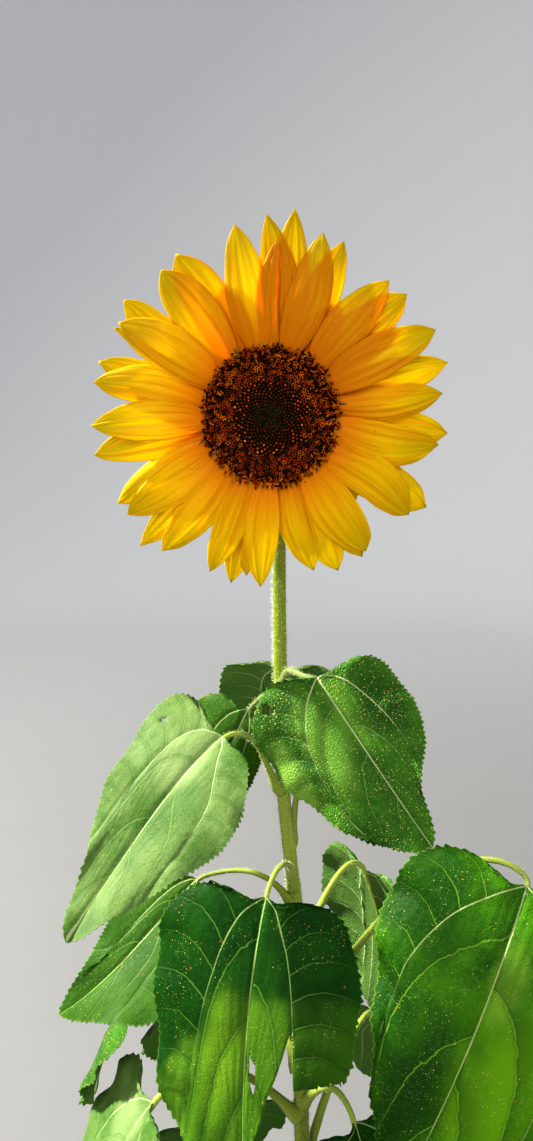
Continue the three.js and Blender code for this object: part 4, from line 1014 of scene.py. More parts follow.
def build_stem(leaves):
    path, radius, z = stem_path()
    sides = 40
    zs = path[:, 2]
    foots = [(o["z"], rad(o["start"])) for o in leaves]

    def shape(S, A):
        # Angle 0 is the hint's direction, +X; it turns towards +Y.
        f = 1 + 0.022 * np.cos(11 * A + 2.0 * noise2(S / 160, np.cos(A), 3)) + 0.012 * np.cos(19 * A + S / 90)
        f = f + 0.020 * noise2(S / 9, 1.6 * np.cos(A) + 5, 2) + 0.03 * noise2(S / 45, 1.3 * np.sin(A), 8)
        Z = np.interp(S, s_all, zs)
        for zf, az in foots:
            near = np.exp(-((Z - zf) / 7.5) ** 2)
            turn = np.angle(np.exp(1j * (A - az)))
            f = f + 0.10 * near * (0.35 + 0.65 * np.exp(-(turn / 0.9) ** 2))
            f = f + 0.05 * np.exp(-((Z - zf + 9) / 14) ** 2) * np.exp(-(turn / 0.5) ** 2)
        low = smooth(60, 0, Z)
        f = f + low * (0.07 * np.cos(5 * A + 1.2) + 0.05 * np.cos(9 * A + 0.5))
        return f

    s_all = np.concatenate([[0], np.cumsum(np.linalg.norm(np.diff(path, axis=0), axis=1))])
    V, quads, caps, along, turn = tube(path, radius, sides, hint=(1, 0, 0), shape=shape)
    V[:sides, 2] = 0
    V[-2, 2] = 0
    cn = np.concatenate([quads.ravel(), caps.ravel()])
    turn_c = turn[cn]
    wrap = np.concatenate([np.tile([0, 1, 1, 0], len(quads)), np.zeros(caps.size)])
    turn_c = np.where((wrap == 1) & (turn_c == 0), 2 * np.pi, turn_c)
    skin = np.stack([along[cn], turn_c, np.clip(along[cn] / along.max(), 0, 1)], -1)
    ob = piece("stem_skin", V, [quads, caps], STEM_SKIN, vector=dict(skin=skin), uv=tube_uv(len(path), sides, quads, caps))
    ride(ob, "stem_green", "stem")
    return path, radius


# ---------------------------------------------------------------- the flower
RAYS = [  # bearing round the face in degrees, tip's way out in mm, layer (0 front, 1 back), width, bluntness
    (-177.1, 82.8, 0, 1.0, 0.2), (-167.3, 84.8, 1, 1.0, 0.4), (-159.8, 61.1, 1, 0.9, 0.5), (-150.4, 83.9, 1, 1.0, 0.3),
    (-145.8, 82.9, 0, 1.0, 0.3), (-135.0, 89.5, 1, 0.95, 0.2), (-128.9, 82.9, 0, 1.0, 0.5), (-121.0, 61.5, 1, 0.9, 0.5),
    (-111.3, 81.5, 0, 0.85, 0.2), (-103.3, 84.3, 1, 0.95, 0.3), (-98.6, 78.9, 1, 0.8, 0.4), (-93.4, 82.3, 0, 0.9, 0.15),
    (-84.0, 57.8, 1, 0.9, 0.5), (-74.2, 77.4, 0, 1.0, 0.4), (-66.3, 82.3, 1, 1.0, 0.7), (-56.9, 82.1, 1, 1.0, 0.6),
    (-54.5, 79.2, 0, 1.15, 0.8), (-46.0, 58.2, 1, 0.9, 0.5), (-35.4, 81.0, 0, 1.1, 0.8), (-30.4, 86.4, 1, 1.15, 0.8),
    (-21.2, 60.1, 1, 0.9, 0.5), (-9.7, 79.1, 0, 1.1, 0.6), (-6.0, 83.2, 1, 1.0, 0.6), (7.5, 79.0, 0, 0.95, 0.4),
    (16.4, 84.0, 1, 1.05, 0.3), (27.8, 82.5, 0, 1.05, 0.4), (33.1, 68.6, 1, 0.6, 0.2), (41.6, 80.4, 1, 1.05, 0.7),
    (48.8, 78.7, 0, 1.05, 0.2), (57.7, 57.1, 1, 0.9, 0.5), (67.1, 81.7, 1, 0.95, 0.3), (74.0, 81.6, 0, 1.0, 0.3),
    (83.3, 89.1, 1, 0.95, 0.1), (88.1, 75.8, 0, 0.55, 0.1), (91.2, 86.4, 1, 0.95, 0.15), (100.8, 83.6, 0, 1.0, 0.25),
    (110.4, 60.2, 1, 0.9, 0.5), (120.7, 81.4, 1, 1.1, 0.8), (127.2, 79.5, 0, 1.15, 0.75), (142.2, 83.0, 1, 1.05, 0.6),
    (148.6, 79.3, 0, 1.15, 0.35), (150.7, 80.5, 1, 0.5, 0.2), (162.8, 81.9, 1, 1.0, 0.3), (169.2, 81.9, 0, 1.0, 0.4)]
SLENDER = np.array([0.50, 0.70, 0.86, 0.96, 1.0, 0.98, 0.90, 0.77, 0.58, 0.34, 0.0, -0.30])
BLUNT = np.array([0.46, 0.64, 0.80, 0.91, 0.98, 1.0, 0.98, 0.93, 0.82, 0.58, 0.0, -0.50])


def build_petals():
    rng = np.random.default_rng(88)
    parts = {0: [], 1: []}
    NS, NC = 30, 24
    turn = {0: 0, 1: 0}
    outlines, shapes = [], []
    for n, (deg, tip, layer, wide, blunt) in enumerate(RAYS):
        turn[layer] += 1
        r0 = 29.8 if layer == 0 else 28.0
        length = tip - r0
        half = 9.5 * wide
        profile = SLENDER * (1 - blunt) + BLUNT * blunt
        s = np.linspace(0, 1, NS + 1) ** 0.93
        c = np.linspace(-1, 1, NC + 1)
        w = half * np.maximum(catmull(profile, s * 10), 0)
        S, C = np.meshgrid(s, c, indexing="ij")
        Wd = w[:, None] * np.ones_like(C)
        bend = rng.normal() * 2.0
        ragged = 0.45 * noise2(S * 6, C * 0.5, n * 3.3) * (np.abs(C) > 0.8)
        along = r0 + S * length
        across = C * Wd + bend * np.sin(np.pi * S) + ragged * smooth(0, 0.2, S) * smooth(1, 0.85, S) * np.sign(C)
        # Cross-section: a shallow trough, pleats and ridges that run together at the tip.
        k = Wd / half
        cup = 0.75 + 0.8 * rng.normal()
        dome = -cup * (C ** 2) * k * 1.4
        at1, at2 = 0.30 + 0.06 * rng.normal(), -0.33 + 0.06 * rng.normal()
        pleat = -0.55 * (np.exp(-((C - at1) / 0.10) ** 2) + np.exp(-((C - at2) / 0.10) ** 2)) * smooth(0.0, 0.25, S)
        ridges = 0.26 * np.cos(C * np.pi * (4.6 + rng.random()) + rng.random() * 6) * smooth(0.02, 0.35, S) * (0.35 + 0.65 * k)
        wave = 0.8 * noise2(S * 2.6, C * 1.1, n * 1.7) + 0.75 * C * np.sin(S * (6 + 3 * rng.random()) + rng.random() * 6) * S * k
        twist = rad(rng.normal() * 10) * S
        start = rad(17 + rng.normal() * 3 if layer == 0 else 7 + rng.normal() * 3)
        fall = 1.02 + 0.10 * rng.normal() if layer == 0 else 0.85 + 0.12 * rng.normal()
        rise = math.tan(start) * length * (S - fall * S ** 2) * 0.85
        first = (0.9 if turn[layer] % 2 else 0.0) + (0.2 if layer == 0 else -3.4)
        fwd = first + rise + dome + (pleat + ridges) * (0.4 + 0.6 * k) + wave + np.tan(twist) * across * 0.6
        b = rad(deg)
        rad_dir = SIDE * math.cos(b) + TOP * math.sin(b)
        tan_dir = -SIDE * math.sin(b) + TOP * math.cos(b)
        pos = HEAD + along[..., None] * rad_dir + across[..., None] * tan_dir + fwd[..., None] * FACE
        parts[layer].append([pos, S, C, k, rng.random()])
        on_face = np.stack([(pos - HEAD) @ SIDE, (pos - HEAD) @ TOP], -1)
        outlines.append((deg, np.vstack([on_face[::2, 0], on_face[::-2, -1]])))
        shapes.append((deg, layer, on_face))
    order = {0: 0, 1: 0}
    # Painted shade: each petal is darkened where other petals overlap it, most of all on the upper petals.
    for n, (deg, layer, pts) in enumerate(shapes):
        overlap_shade = np.zeros(pts.shape[:2])
        for k, (other, poly) in enumerate(outlines):
            if k != n and abs((other - deg + 180) % 360 - 180) < 36:
                d, _ = near_polygon(pts.reshape(-1, 2), poly)
                overlap_shade += smooth(0.5, -0.5, d).reshape(overlap_shade.shape)
        off = abs((deg - 70 + 180) % 360 - 180)
        parts[layer][order[layer]].append((0.78 * np.clip(overlap_shade, 0, 1) + 0.22 * np.clip(overlap_shade - 1, 0, 1)) * (0.06 + 0.94 * smooth(88, 34, off)))
        # Painted shade: a duller tint for the petals at the top of the head.
        parts[layer][order[layer]].append(float(smooth(62, 26, abs(deg - 92))))
        order[layer] += 1
    for layer, rows in parts.items():
        V, F4, F3, ray, ray3, uvs, uvs3 = [], [], [], [], [], [], []
        dim4, dim3, top4, top3 = [], [], [], []
        base = 0
        cols = 8
        rows_n = math.ceil(len(rows) / cols)
        for idx, (pos, S, C, K, seed, overlap_shade, top_shade) in enumerate(rows):
            n0, n1 = S.shape
            m = n0 * n1
            nrm = unit(np.cross(np.gradient(pos, axis=0), np.gradient(pos, axis=1)) + 1e-9)
            nrm = nrm * np.sign((nrm @ FACE).mean() or 1)
            nrm[-1] = nrm[-2]
            thick = 0.36 * np.minimum(1, (1 - np.abs(C)) * 5 + 0.35)[..., None]
            topf, low = (pos + nrm * thick / 2).reshape(-1, 3), (pos - nrm * thick / 2).reshape(-1, 3)
            tip = m - n1
            i, j = np.meshgrid(np.arange(n0 - 1), np.arange(n1 - 1), indexing="ij")
            a = (i * n1 + j).reshape(-1)
            q = np.stack([a, a + 1, a + n1 + 1, a + n1], -1)
            flip = np.cross(topf[q[:, 1]] - topf[q[:, 0]], topf[q[:, 3]] - topf[q[:, 0]]) @ FACE
            if np.median(flip) < 0:
                q = q[:, ::-1]
            weld = np.arange(m)
            weld[tip:] = tip
            e = weld[np.concatenate([np.stack([q[:, k], q[:, (k + 1) % 4]], -1) for k in range(4)])]
            e = e[e[:, 0] != e[:, 1]]
            code, back = e[:, 0] * m + e[:, 1], e[:, 1] * m + e[:, 0]
            rim = e[~np.isin(code, back)]
            side = np.stack([rim[:, 1], rim[:, 0], rim[:, 0] + m, rim[:, 1] + m], -1)
            quads = np.vstack([q, q[:, ::-1] + m, side])
            w2 = np.concatenate([weld, weld + m])
            Sf, Cf, Kf, overlap_shade = (np.concatenate([x.ravel()] * 2) for x in (S, C, K, overlap_shade))
            cx, cy = idx % cols, idx // cols
            lower = np.concatenate([np.zeros(m), np.ones(m)])
            bx = (cx + 0.26 + 0.48 * lower + 0.215 * Cf * np.maximum(Kf, 0.0)) / cols
            by = (cy + 0.03 + 0.94 * Sf) / rows_n
            U = np.stack([bx, by], -1)
            whole, tr, tc = tidy(w2[quads])
            f4, f3 = quads[whole], np.take_along_axis(quads[tr], tc, 1)
            on_side = whole >= 2 * len(q)
            c4, c3 = U[f4].copy(), U[f3].copy()
            # The rim strip lies just outside the upper face on the map.
            g = f4[on_side]
            up = np.where(g < m, g, g - m)
            out = np.where(np.abs(Cf[up]) > 0.99, np.sign(Cf[up]), 0.0)
            off = np.stack([out * 0.018 / cols, np.where((Sf[up] < 0.01) & (np.abs(out) < 1), -0.014, 0.0) / rows_n], -1)
            c4[on_side] = U[up] + off * (g >= m)[..., None]
            V += [topf, low]
            F4.append(w2[f4] + base)
            F3.append(w2[f3] + base)
            ray.append(np.stack([Sf[f4], Cf[f4], np.full(f4.shape, seed)], -1).reshape(-1, 3))
            ray3.append(np.stack([Sf[f3], Cf[f3], np.full(f3.shape, seed)], -1).reshape(-1, 3))
            dim4.append(overlap_shade[f4].ravel())
            dim3.append(overlap_shade[f3].ravel())
            top4.append(np.full(f4.size, top_shade))
            top3.append(np.full(f3.size, top_shade))
            uvs.append(c4.reshape(-1, 2))
            uvs3.append(c3.reshape(-1, 2))
            base += 2 * m
        Vall = np.vstack(V)
        F4, F3 = np.vstack(F4), np.vstack(F3)
        used = np.unique(np.concatenate([F4.ravel(), F3.ravel()]))
        remap = np.full(len(Vall), -1)
        remap[used] = np.arange(len(used))
        ob = piece("ray_petals_" + ("front" if layer == 0 else "back"), Vall[used], [remap[F4], remap[F3]], PETAL,
                   vector=dict(ray=np.vstack(ray + ray3)), corner=dict(overlap_shade=np.concatenate(dim4 + dim3), top_shade=np.concatenate(top4 + top3)), uv=np.vstack(uvs + uvs3))
        ride(ob, "petal_yellow", "petals_front" if layer == 0 else "petals_back")


def lathe(profile, segments, name, mat, slot, nodes=(), wob=None):
    """A closed turned shape about the flower's axis. profile rows are (radius, forwards)."""
    prof = np.asarray(profile, float)
    a = 2 * np.pi * np.arange(segments) / segments
    rr = prof[:, 0][:, None] * np.ones(segments)
    ff = prof[:, 1][:, None] * np.ones(segments)
    if wob is not None:
        rr, ff = wob(rr, ff, a[None] * np.ones(len(prof))[:, None])
    V = HEAD + rr[..., None] * (np.cos(a)[None, :, None] * SIDE + np.sin(a)[None, :, None] * TOP) + ff[..., None] * FACE
    V = V.reshape(-1, 3)
    n = len(prof)
    i, k = np.meshgrid(np.arange(n - 1), np.arange(segments), indexing="ij")
    a0, b0 = i * segments + k, i * segments + (k + 1) % segments
    quads = np.stack([a0, b0, b0 + segments, a0 + segments], -1).reshape(-1, 4)
    V = np.vstack([V, HEAD + FACE * ff[0].mean(), HEAD + FACE * ff[-1].mean()])
    k = np.arange(segments)
    c0, c1 = len(V) - 2, len(V) - 1
    low = np.stack([np.full(segments, c0), (k + 1) % segments, k], -1)
    top = (n - 1) * segments
    high = np.stack([np.full(segments, c1), top + k, top + (k + 1) % segments], -1)
    # Facing out: compare the first skin face with the way out from the axis.
    mid = V[quads[len(quads) // 2]].mean(0)
    nn = np.cross(V[quads[len(quads) // 2][1]] - V[quads[len(quads) // 2][0]], V[quads[len(quads) // 2][2]] - V[quads[len(quads) // 2][0]])
    rel = mid - HEAD
    rel = rel - FACE * (rel @ FACE)
    if nn @ rel < 0:
        quads, low, high = quads[:, ::-1], low[:, ::-1], high[:, ::-1]
    caps = np.vstack([low, high])
    ob = piece(name, V, [quads, caps], mat)
    ride(ob, slot, *nodes)
    return ob


def bud_template(sides, rings):
    """A rounded bud, one unit high and one across, closed."""
    V, F = [], []
    for r, z in rings:
        for k in range(sides):
            a = 2 * np.pi * k / sides
            V.append((r * math.cos(a), r * math.sin(a), z))
    V.append((0, 0, rings[-1][1] + rings[-1][0] * 0.35))
    V.append((0, 0, rings[0][1]))
    t, b = len(V) - 2, len(V) - 1
    for i in range(len(rings) - 1):
        for k in range(sides):
            a, c = i * sides + k, i * sides + (k + 1) % sides
            F += [(a, c, c + sides), (a, c + sides, a + sides)]
    e = (len(rings) - 1) * sides
    for k in range(sides):
        F.append((e + k, e + (k + 1) % sides, t))
        F.append((b, (k + 1) % sides, k))
    return np.array(V, float), np.array(F)


def horn_template(points, radii, sides=3):
    """A thin curved horn through points, closed."""
    P = np.asarray(points, float)
    V, quads, caps, _, _ = tube(P, radii, sides, hint=(0.3, 1, 0.2))
    tris = np.vstack([quads[:, [0, 1, 2]], quads[:, [0, 2, 3]], caps])
    return V, tris


def merge(*templates):
    V, F, base = [], [], 0
    for v, f in templates:
        V.append(v)
        F.append(f + base)
        base += len(v)
    return np.vstack(V), np.vstack(F)


def turned(template, angle, scale=1.0):
    v, f = template
    c, s = math.cos(angle), math.sin(angle)
    R = np.array([[c, -s, 0], [s, c, 0], [0, 0, 1]])
    return (v * scale) @ R.T, f


def build_disc():
    rng = np.random.default_rng(314)
    ground = [[0, 0.2], [6, 0.1], [12, 0.5], [17, 1.3], [22, 2.2], [27, 2.0], [30, 0.9], [31.4, -0.4]]
    prof = [(0.4, 0.2)] + [(r, f) for r, f in ground[1:]] + [(31.8, -2.0), (31.0, -3.4), (0.5, -3.6)]
    dark = plain("disc_ground", (0.008, 0.003, 0.001), 0.9, 700.0, 0.5, 0.02)

    def droop(rr, a):
        """The disc hangs a little further out below."""
        return rr * (1 + 0.070 * smooth(0, 1, -np.sin(a)) * smooth(4, 30, rr))

    lathe(prof[::-1], 72, "disc_bed", dark, "disc_brown", ("disc_florets",), lambda rr, ff, a: (droop(rr, a), ff))

    # Golden-angle spirals, the florets further apart towards the rim.
    gap = [[0, 1.16], [6, 1.32], [9, 1.60], [17, 1.84], [20, 1.92], [33, 1.88]]
    rr = np.linspace(0, 31.2, 4000)
    many = np.cumsum(2 * np.pi * rr / (0.90 * table(gap, rr) ** 2)) * (rr[1] - rr[0])
    n = np.arange(1, int(many[-1]) + 1)
    r = np.interp(n - 0.5, many, rr)
    a = n * math.pi * (3 - math.sqrt(5))
    r = r + rng.normal(size=len(n)) * 0.05 * (1 + smooth(16, 22, r) * 3)
    a = a + rng.normal(size=len(n)) * 0.06 / np.maximum(r, 2) * (1 + smooth(16, 22, r) * 2)
    step = table(gap, r)
    out = np.cos(a)[:, None] * SIDE + np.sin(a)[:, None] * TOP
    slope = np.interp(r, [0, 8, 16, 22, 28, 31, 33], [-0.05, -0.16, -0.24, -0.02, 0.22, 0.42, 0.5])
    stray = smooth(14, 24, r)[:, None]
    axis = unit(FACE[None] + out * slope[:, None] + 0.20 * rng.normal(size=(len(n), 3)) * stray)
    X = unit(out - axis * (out * axis).sum(1)[:, None])
    Y = np.cross(axis, X)
    spin = rng.random(len(n)) * 2 * np.pi * stray[:, 0]
    X, Y = X * np.cos(spin)[:, None] + Y * np.sin(spin)[:, None], -X * np.sin(spin)[:, None] + Y * np.cos(spin)[:, None]
    foot = HEAD + out * droop(r, a)[:, None] + FACE * (table(ground, r) - 0.5)[:, None]

    def deal(mask, template, size, high, mats, odds, name, up=0.0):
        ids = np.where(mask)[0]
        if not len(ids):
            return
        w = (size * np.ones(len(n)))[ids] * (0.88 + 0.24 * rng.random(len(ids)))
        h = (high * np.ones(len(n)))[ids] * (0.88 + 0.24 * rng.random(len(ids)))
        up = (up * np.ones(len(n)))[ids]
        V, F = stamp(template, foot[ids] + axis[ids] * up[:, None], X[ids] * w[:, None], Y[ids] * w[:, None], axis[ids] * h[:, None])
        pick = rng.choice(len(mats), len(ids), p=odds)
        ob = piece(name, V, [F], mats, index=np.repeat(pick, len(template[1])))
        ride(ob, "disc_brown")

    olive = plain("floret_olive", (0.024, 0.028, 0.001), 0.6, spec=0.02)
    olive2 = plain("floret_olive_dark", (0.006, 0.007, 0.001), 0.65, spec=0.02)
    umber = plain("floret_umber", (0.042, 0.011, 0.001), 0.55, spec=0.02)
    brown = plain("floret_brown", (0.140, 0.022, 0.001), 0.5, spec=0.02)
    rust = plain("floret_rust", (0.48, 0.050, 0.001), 0.5, spec=0.02)
    amber = plain("floret_amber", (0.86, 0.155, 0.002), 0.5, spec=0.03)
    gold = plain("floret_gold", (0.86, 0.33, 0.006), 0.5, spec=0.05)
    black = plain("floret_black", (0.003, 0.001, 0.001), 0.65, spec=0.02)
    maroon = plain("floret_maroon", (0.046, 0.007, 0.001), 0.55, spec=0.02)

    fuzzy = rng.normal(size=len(n))
    k1 = r < 6.6 + fuzzy * 0.5
    k2 = ~k1 & (r < 11.8 + fuzzy * 0.8)
    k3 = ~k1 & ~k2 & (r < 17.6 + fuzzy * 0.9)
    k4 = ~k1 & ~k2 & ~k3 & (r < 24.5 + fuzzy * 1.2)
    k5 = ~k1 & ~k2 & ~k3 & ~k4
    # Middle: slender two-edged buds leaning inwards.
    sliver = bud_template(6, [(0.22, 0.0), (0.30, 0.5), (0.24, 0.85), (0.10, 1.0)])
    sliver = (sliver[0] * [1.55, 0.95, 1.0], sliver[1])
    deal(k1, sliver, step * 0.92, 1.25, [olive, olive2, umber], [0.52, 0.34, 0.14], "florets_middle")
    body = bud_template(6, [(0.40, 0.0), (0.42, 0.5), (0.30, 0.8), (0.10, 0.9)])
    knob = bud_template(7, [(0.17, 0.0), (0.285, 0.30), (0.27, 0.62), (0.14, 0.90)])
    deal(k2 | k3, body, step * 0.80, 1.5 + 0.06 * (r - 7), [black, maroon], [0.8, 0.2], "bud_bodies")
    deal(k2, knob, step * 0.92, 1.0, [umber, olive, brown], [0.50, 0.16, 0.34], "bud_tips_inner", 1.05 + 0.05 * (r - 7))
    deal(k3, knob, step * 0.98, 1.1, [brown, rust, umber, amber], [0.42, 0.20, 0.32, 0.06], "bud_tips_outer", 1.15 + 0.06 * (r - 7))

    # Open florets: a tube whose five lobes curl back round a dark mouth.
    lobe = horn_template([(0.25, 0, 0.82), (0.34, 0, 0.99), (0.47, 0, 1.01), (0.55, 0, 0.86)], [0.085, 0.10, 0.075, 0.02], 4)
    tube_t = bud_template(6, [(0.20, 0.0), (0.26, 0.4), (0.30, 0.76), (0.24, 0.78)])
    star = merge(*[turned(lobe, 2 * math.pi * k / 5) for k in range(5)])
    mouth = bud_template(6, [(0.22, 0.74), (0.20, 0.82), (0.12, 0.84)])
    anther = bud_template(6, [(0.14, 0.5), (0.17, 0.9), (0.16, 1.12), (0.10, 1.22)])
    deal(k4, tube_t, step * 0.95, 2.4, [maroon, black, brown], [0.45, 0.45, 0.10], "floret_tubes_inner")
    deal(k4, star, step * 1.12, 2.4, [rust, amber, brown, maroon], [0.44, 0.20, 0.22, 0.14], "floret_lobes_inner")
    deal(k4, mouth, step * 1.12, 2.4, [black], [1.0], "floret_mouths")
    deal(k5, tube_t, step * 0.85, 2.5, [black, maroon, brown], [0.55, 0.35, 0.10], "floret_tubes_outer")
    deal(k5, star, step * 0.95, 2.3, [maroon, rust, brown, amber], [0.26, 0.40, 0.14, 0.20], "floret_lobes_outer")
    k6 = k5 | (k4 & (rng.random(len(n)) < 0.35))
    deal(k6, anther, step * 0.95, 2.9, [black, maroon], [0.85, 0.15], "floret_anthers")
    arm = horn_template([(0.03, 0, 1.12), (0.16, 0, 1.36), (0.36, 0, 1.44), (0.52, 0, 1.32), (0.50, 0, 1.16)], [0.075, 0.085, 0.08, 0.065, 0.025], 3)
    arms = merge(arm, turned(arm, math.pi * 0.9))
    curl = horn_template([(0.0, 0, 1.0), (-0.10, 0.10, 1.30), (0.06, 0.26, 1.48), (0.30, 0.24, 1.42), (0.36, 0.06, 1.30)], [0.07, 0.08, 0.075, 0.06, 0.02], 3)
    k7 = k5 & (rng.random(len(n)) < 0.7)
    deal(k7, arms, step * 1.0, 2.7, [rust, amber, gold, maroon], [0.50, 0.26, 0.08, 0.16], "floret_stigmas")
    deal(k5, curl, step * 1.0, 2.6, [rust, brown, maroon, amber], [0.46, 0.12, 0.14, 0.28], "floret_curls")
    grain = bud_template(5, [(0.5, 0.0), (0.5, 0.5), (0.2, 0.9)])
    k8 = (k5 | k4) & (rng.random(len(n)) < 0.22)
    deal(k8, grain, 0.46, 0.5, [gold, amber], [0.6, 0.4], "pollen_grains", 3.2)

    # Ragged dark scales at the disc's rim, a few of them green and longer.
    m = 190
    ang = np.sort(rng.random(m)) * 2 * np.pi
    long = np.zeros(m)
    for deg in (21, 10, -11, 42, -107, -160, 98, 118):
        long[np.abs(np.angle(np.exp(1j * (ang - rad(deg))))).argmin()] = 1
    ro = np.cos(ang)[:, None] * SIDE + np.sin(ang)[:, None] * TOP
    scale = horn_template([(0, 0, 0), (0.2, 0, 0.5), (0.15, 0, 1.0)], [0.5, 0.34, 0.04], 4)
    hgt = 1.6 + 2.6 * rng.random(m) + 2.4 * long
    ax = unit(FACE[None] * 0.85 + ro * (0.10 + 0.55 * rng.random((m, 1)) + 0.5 * long[:, None]) + 0.30 * rng.normal(size=(m, 3)))
    xx = unit(ro - ax * (ro * ax).sum(1)[:, None])
    yy = np.cross(ax, xx)
    V, F = stamp(scale, HEAD + ro * (droop(30.9, ang)[:, None] + rng.normal(size=(m, 1)) * 0.55) + FACE * -0.8, xx * 0.9, yy * (0.7 + 0.6 * rng.random((m, 1)) + 0.8 * long[:, None]), ax * hgt[:, None])
    pick = rng.choice(4, m, p=[0.42, 0.26, 0.06, 0.26])
    pick[long > 0] = rng.choice(2, int(long.sum())) * 2
    green = plain("scale_green", (0.055, 0.10, 0.012), 0.6)
    ob = piece("disc_scales", V, [F], [black, maroon, green, rust], index=np.repeat(pick, len(scale[1])))
    ride(ob, "disc_brown")


def build_bracts():
    rng = np.random.default_rng(62)
    V, F, base = [], [], 0
    hairs = []
    for ring, count, r0, ln, tilt, fwd in ((0, 17, 27.0, 21.0, 8, -6.0), (1, 15, 24.0, 24.0, -6, -8.6), (2, 11, 18.0, 24.0, -20, -11.5)):
        for i in range(count):
            b = 2 * np.pi * (i + 0.35 * ring + 0.15 * rng.normal()) / count
            ro = SIDE * math.cos(b) + TOP * math.sin(b)
            ta = -SIDE * math.sin(b) + TOP * math.cos(b)
            length = ln * (0.85 + 0.3 * rng.random())
            half = 4.6 * (0.9 + 0.2 * rng.random())
            s = np.linspace(0, 1, 15)
            c = np.linspace(-1, 1, 7)
            w = half * catmull([0.72, 0.95, 1.0, 0.92, 0.72, 0.46, 0.25, 0.13, 0.07, 0.035, 0.0], s * 10)
            S, C = np.meshgrid(s, c, indexing="ij")
            Wd = w[:, None] * np.ones_like(C)
            t0 = rad(tilt + rng.normal() * 6)
            curl = rad(-14 + rng.normal() * 12)
            ang = t0 + curl * S
            along = r0 + np.cumsum(np.vstack([np.zeros(7), np.diff(s)[:, None] * np.cos((ang[1:] + ang[:-1]) / 2)]), 0) * length
            up = fwd + np.cumsum(np.vstack([np.zeros(7), np.diff(s)[:, None] * np.sin((ang[1:] + ang[:-1]) / 2)]), 0) * length
            up = up + 0.9 * (C ** 2) * Wd / half + 0.35 * np.exp(-(C / 0.15) ** 2) * -1 * (1 - S)
            pos = HEAD + along[..., None] * ro + (C * Wd)[..., None] * ta + up[..., None] * FACE
            du, dv = np.gradient(pos, axis=0), np.gradient(pos, axis=1)
            nrm = unit(np.cross(du, dv) + 1e-9)
            nrm = nrm * np.sign((nrm @ FACE).mean() or 1)
            nrm[-1] = nrm[-2]
            th = 0.45
            topf, low = (pos + nrm * th / 2).reshape(-1, 3), (pos - nrm * th / 2).reshape(-1, 3)
            n0, n1 = S.shape
            i2, j2 = np.meshgrid(np.arange(n0 - 1), np.arange(n1 - 1), indexing="ij")
            a = (i2 * n1 + j2).reshape(-1)
            q = np.stack([a, a + 1, a + n1 + 1, a + n1], -1)
            fl = np.einsum("ij,j->i", np.cross(topf[q[:, 1]] - topf[q[:, 0]], topf[q[:, 3]] - topf[q[:, 0]]), FACE)
            if np.median(fl) < 0:
                q = q[:, ::-1]
            m = n0 * n1
            e = np.concatenate([np.stack([q[:, k], q[:, (k + 1) % 4]], -1) for k in range(4)])
            code, back = e[:, 0] * m + e[:, 1], e[:, 1] * m + e[:, 0]
            rim = e[~np.isin(code, back)]
            side = np.stack([rim[:, 1], rim[:, 0], rim[:, 0] + m, rim[:, 1] + m], -1)
            V += [topf, low]
            F.append(np.vstack([q, q[:, ::-1] + m, side]) + base)
            base += 2 * m
            # Hairs along the edges and over the back.
            k = 46
            ss = rng.random(k) * 0.9
            cc = np.sign(rng.normal(size=k)) * (1 - 0.9 * (rng.random(k) < 0.4) * rng.random(k))
            ii = np.clip((ss * (n0 - 1)).astype(int), 0, n0 - 2)
            jj = np.clip(((cc + 1) / 2 * (n1 - 1)).round().astype(int), 0, n1 - 1)
            basep = pos[ii, jj]
            d = unit(-nrm[ii, jj] * 0.9 + ta * np.sign(cc)[:, None] * 0.9 + ro * 0.5 + 0.3 * rng.normal(size=(k, 3)))
            hairs.append((basep, d, 0.9 + 0.8 * rng.random(k)))
    V, F = np.vstack(V), np.vstack(F)
    ob = piece("bract_cup", V, [F], BRACT)
    ride(ob, "bract_green", "bracts")
    P = np.vstack([h[0] for h in hairs])
    D = np.vstack([h[1] for h in hairs])
    Ln = np.concatenate([h[2] for h in hairs])
    x = unit(np.cross(D, rng.normal(size=D.shape)))
    y = np.cross(D, x)
    V, F = stamp(BRISTLE, P, x * 0.05, y * 0.05, D * Ln[:, None])
    ob = piece("bract_bristles", V, [F], HAIR)
    ride(ob, "bract_green")
    # The fleshy cup behind the florets, ribbed where the neck flares into it.
    prof = [(0.5, -17.2), (6.0, -17.3), (9.0, -16.9), (13.5, -15.8), (18.5, -14.6), (23.5, -12.6), (27.3, -10.2), (29.2, -7.4), (29.6, -4.2), (28.6, -3.9), (0.5, -3.8)]

    def wob(rr, ff, a):
        k = 1 + 0.02 * np.cos(13 * a) * smooth(4, 16, rr) + 0.015 * noise2(rr / 6, 2 * np.cos(a), 3)
        return rr * k, ff + 0.4 * noise2(rr / 5, 2.5 * np.sin(a) + 4, 6) * (ff < -5)

    lathe(prof, 72, "head_cup", CUP, "bract_green", ("receptacle",), wob)


LEAVES = NEAR + [ruled(r) for r in RULED]
HERO = set("abcdg")
stem_P, stem_R = build_stem(LEAVES)
bits = []
hair_rng = np.random.default_rng(9)
upper = stem_P[:, 2] > 560
bits.append(bristles_on(stem_P[upper], stem_R[upper], 12500, hair_rng, 2.2, 0.115))
bits.append(bristles_on(stem_P[~upper & (stem_P[:, 2] > 14)], stem_R[~upper & (stem_P[:, 2] > 14)], 3500, hair_rng, 2.2, 0.11))
for o in LEAVES:
    blade = build_leaf(o, o["name"] in HERO)
    P, R = build_petiole(o, blade)
    body = P[:46]
    bits.append(bristles_on(body, R[:46], 320 if o["name"] in HERO else 220, hair_rng, 1.5, 0.075, skip=0.04))
hv, hf = [], []
for kind, group in (("stem_bristles", bits[:2]), ("stalk_bristles", bits[2:])):
    V, F = stamp(BRISTLE, *[np.vstack([b[i] for b in group]) for i in range(4)])
    V[:, 2] = np.maximum(V[:, 2], 0.3)
    ob = piece(kind, V, [F], HAIR)
    ride(ob, "stem_green")
build_petals()
build_disc()
build_bracts()

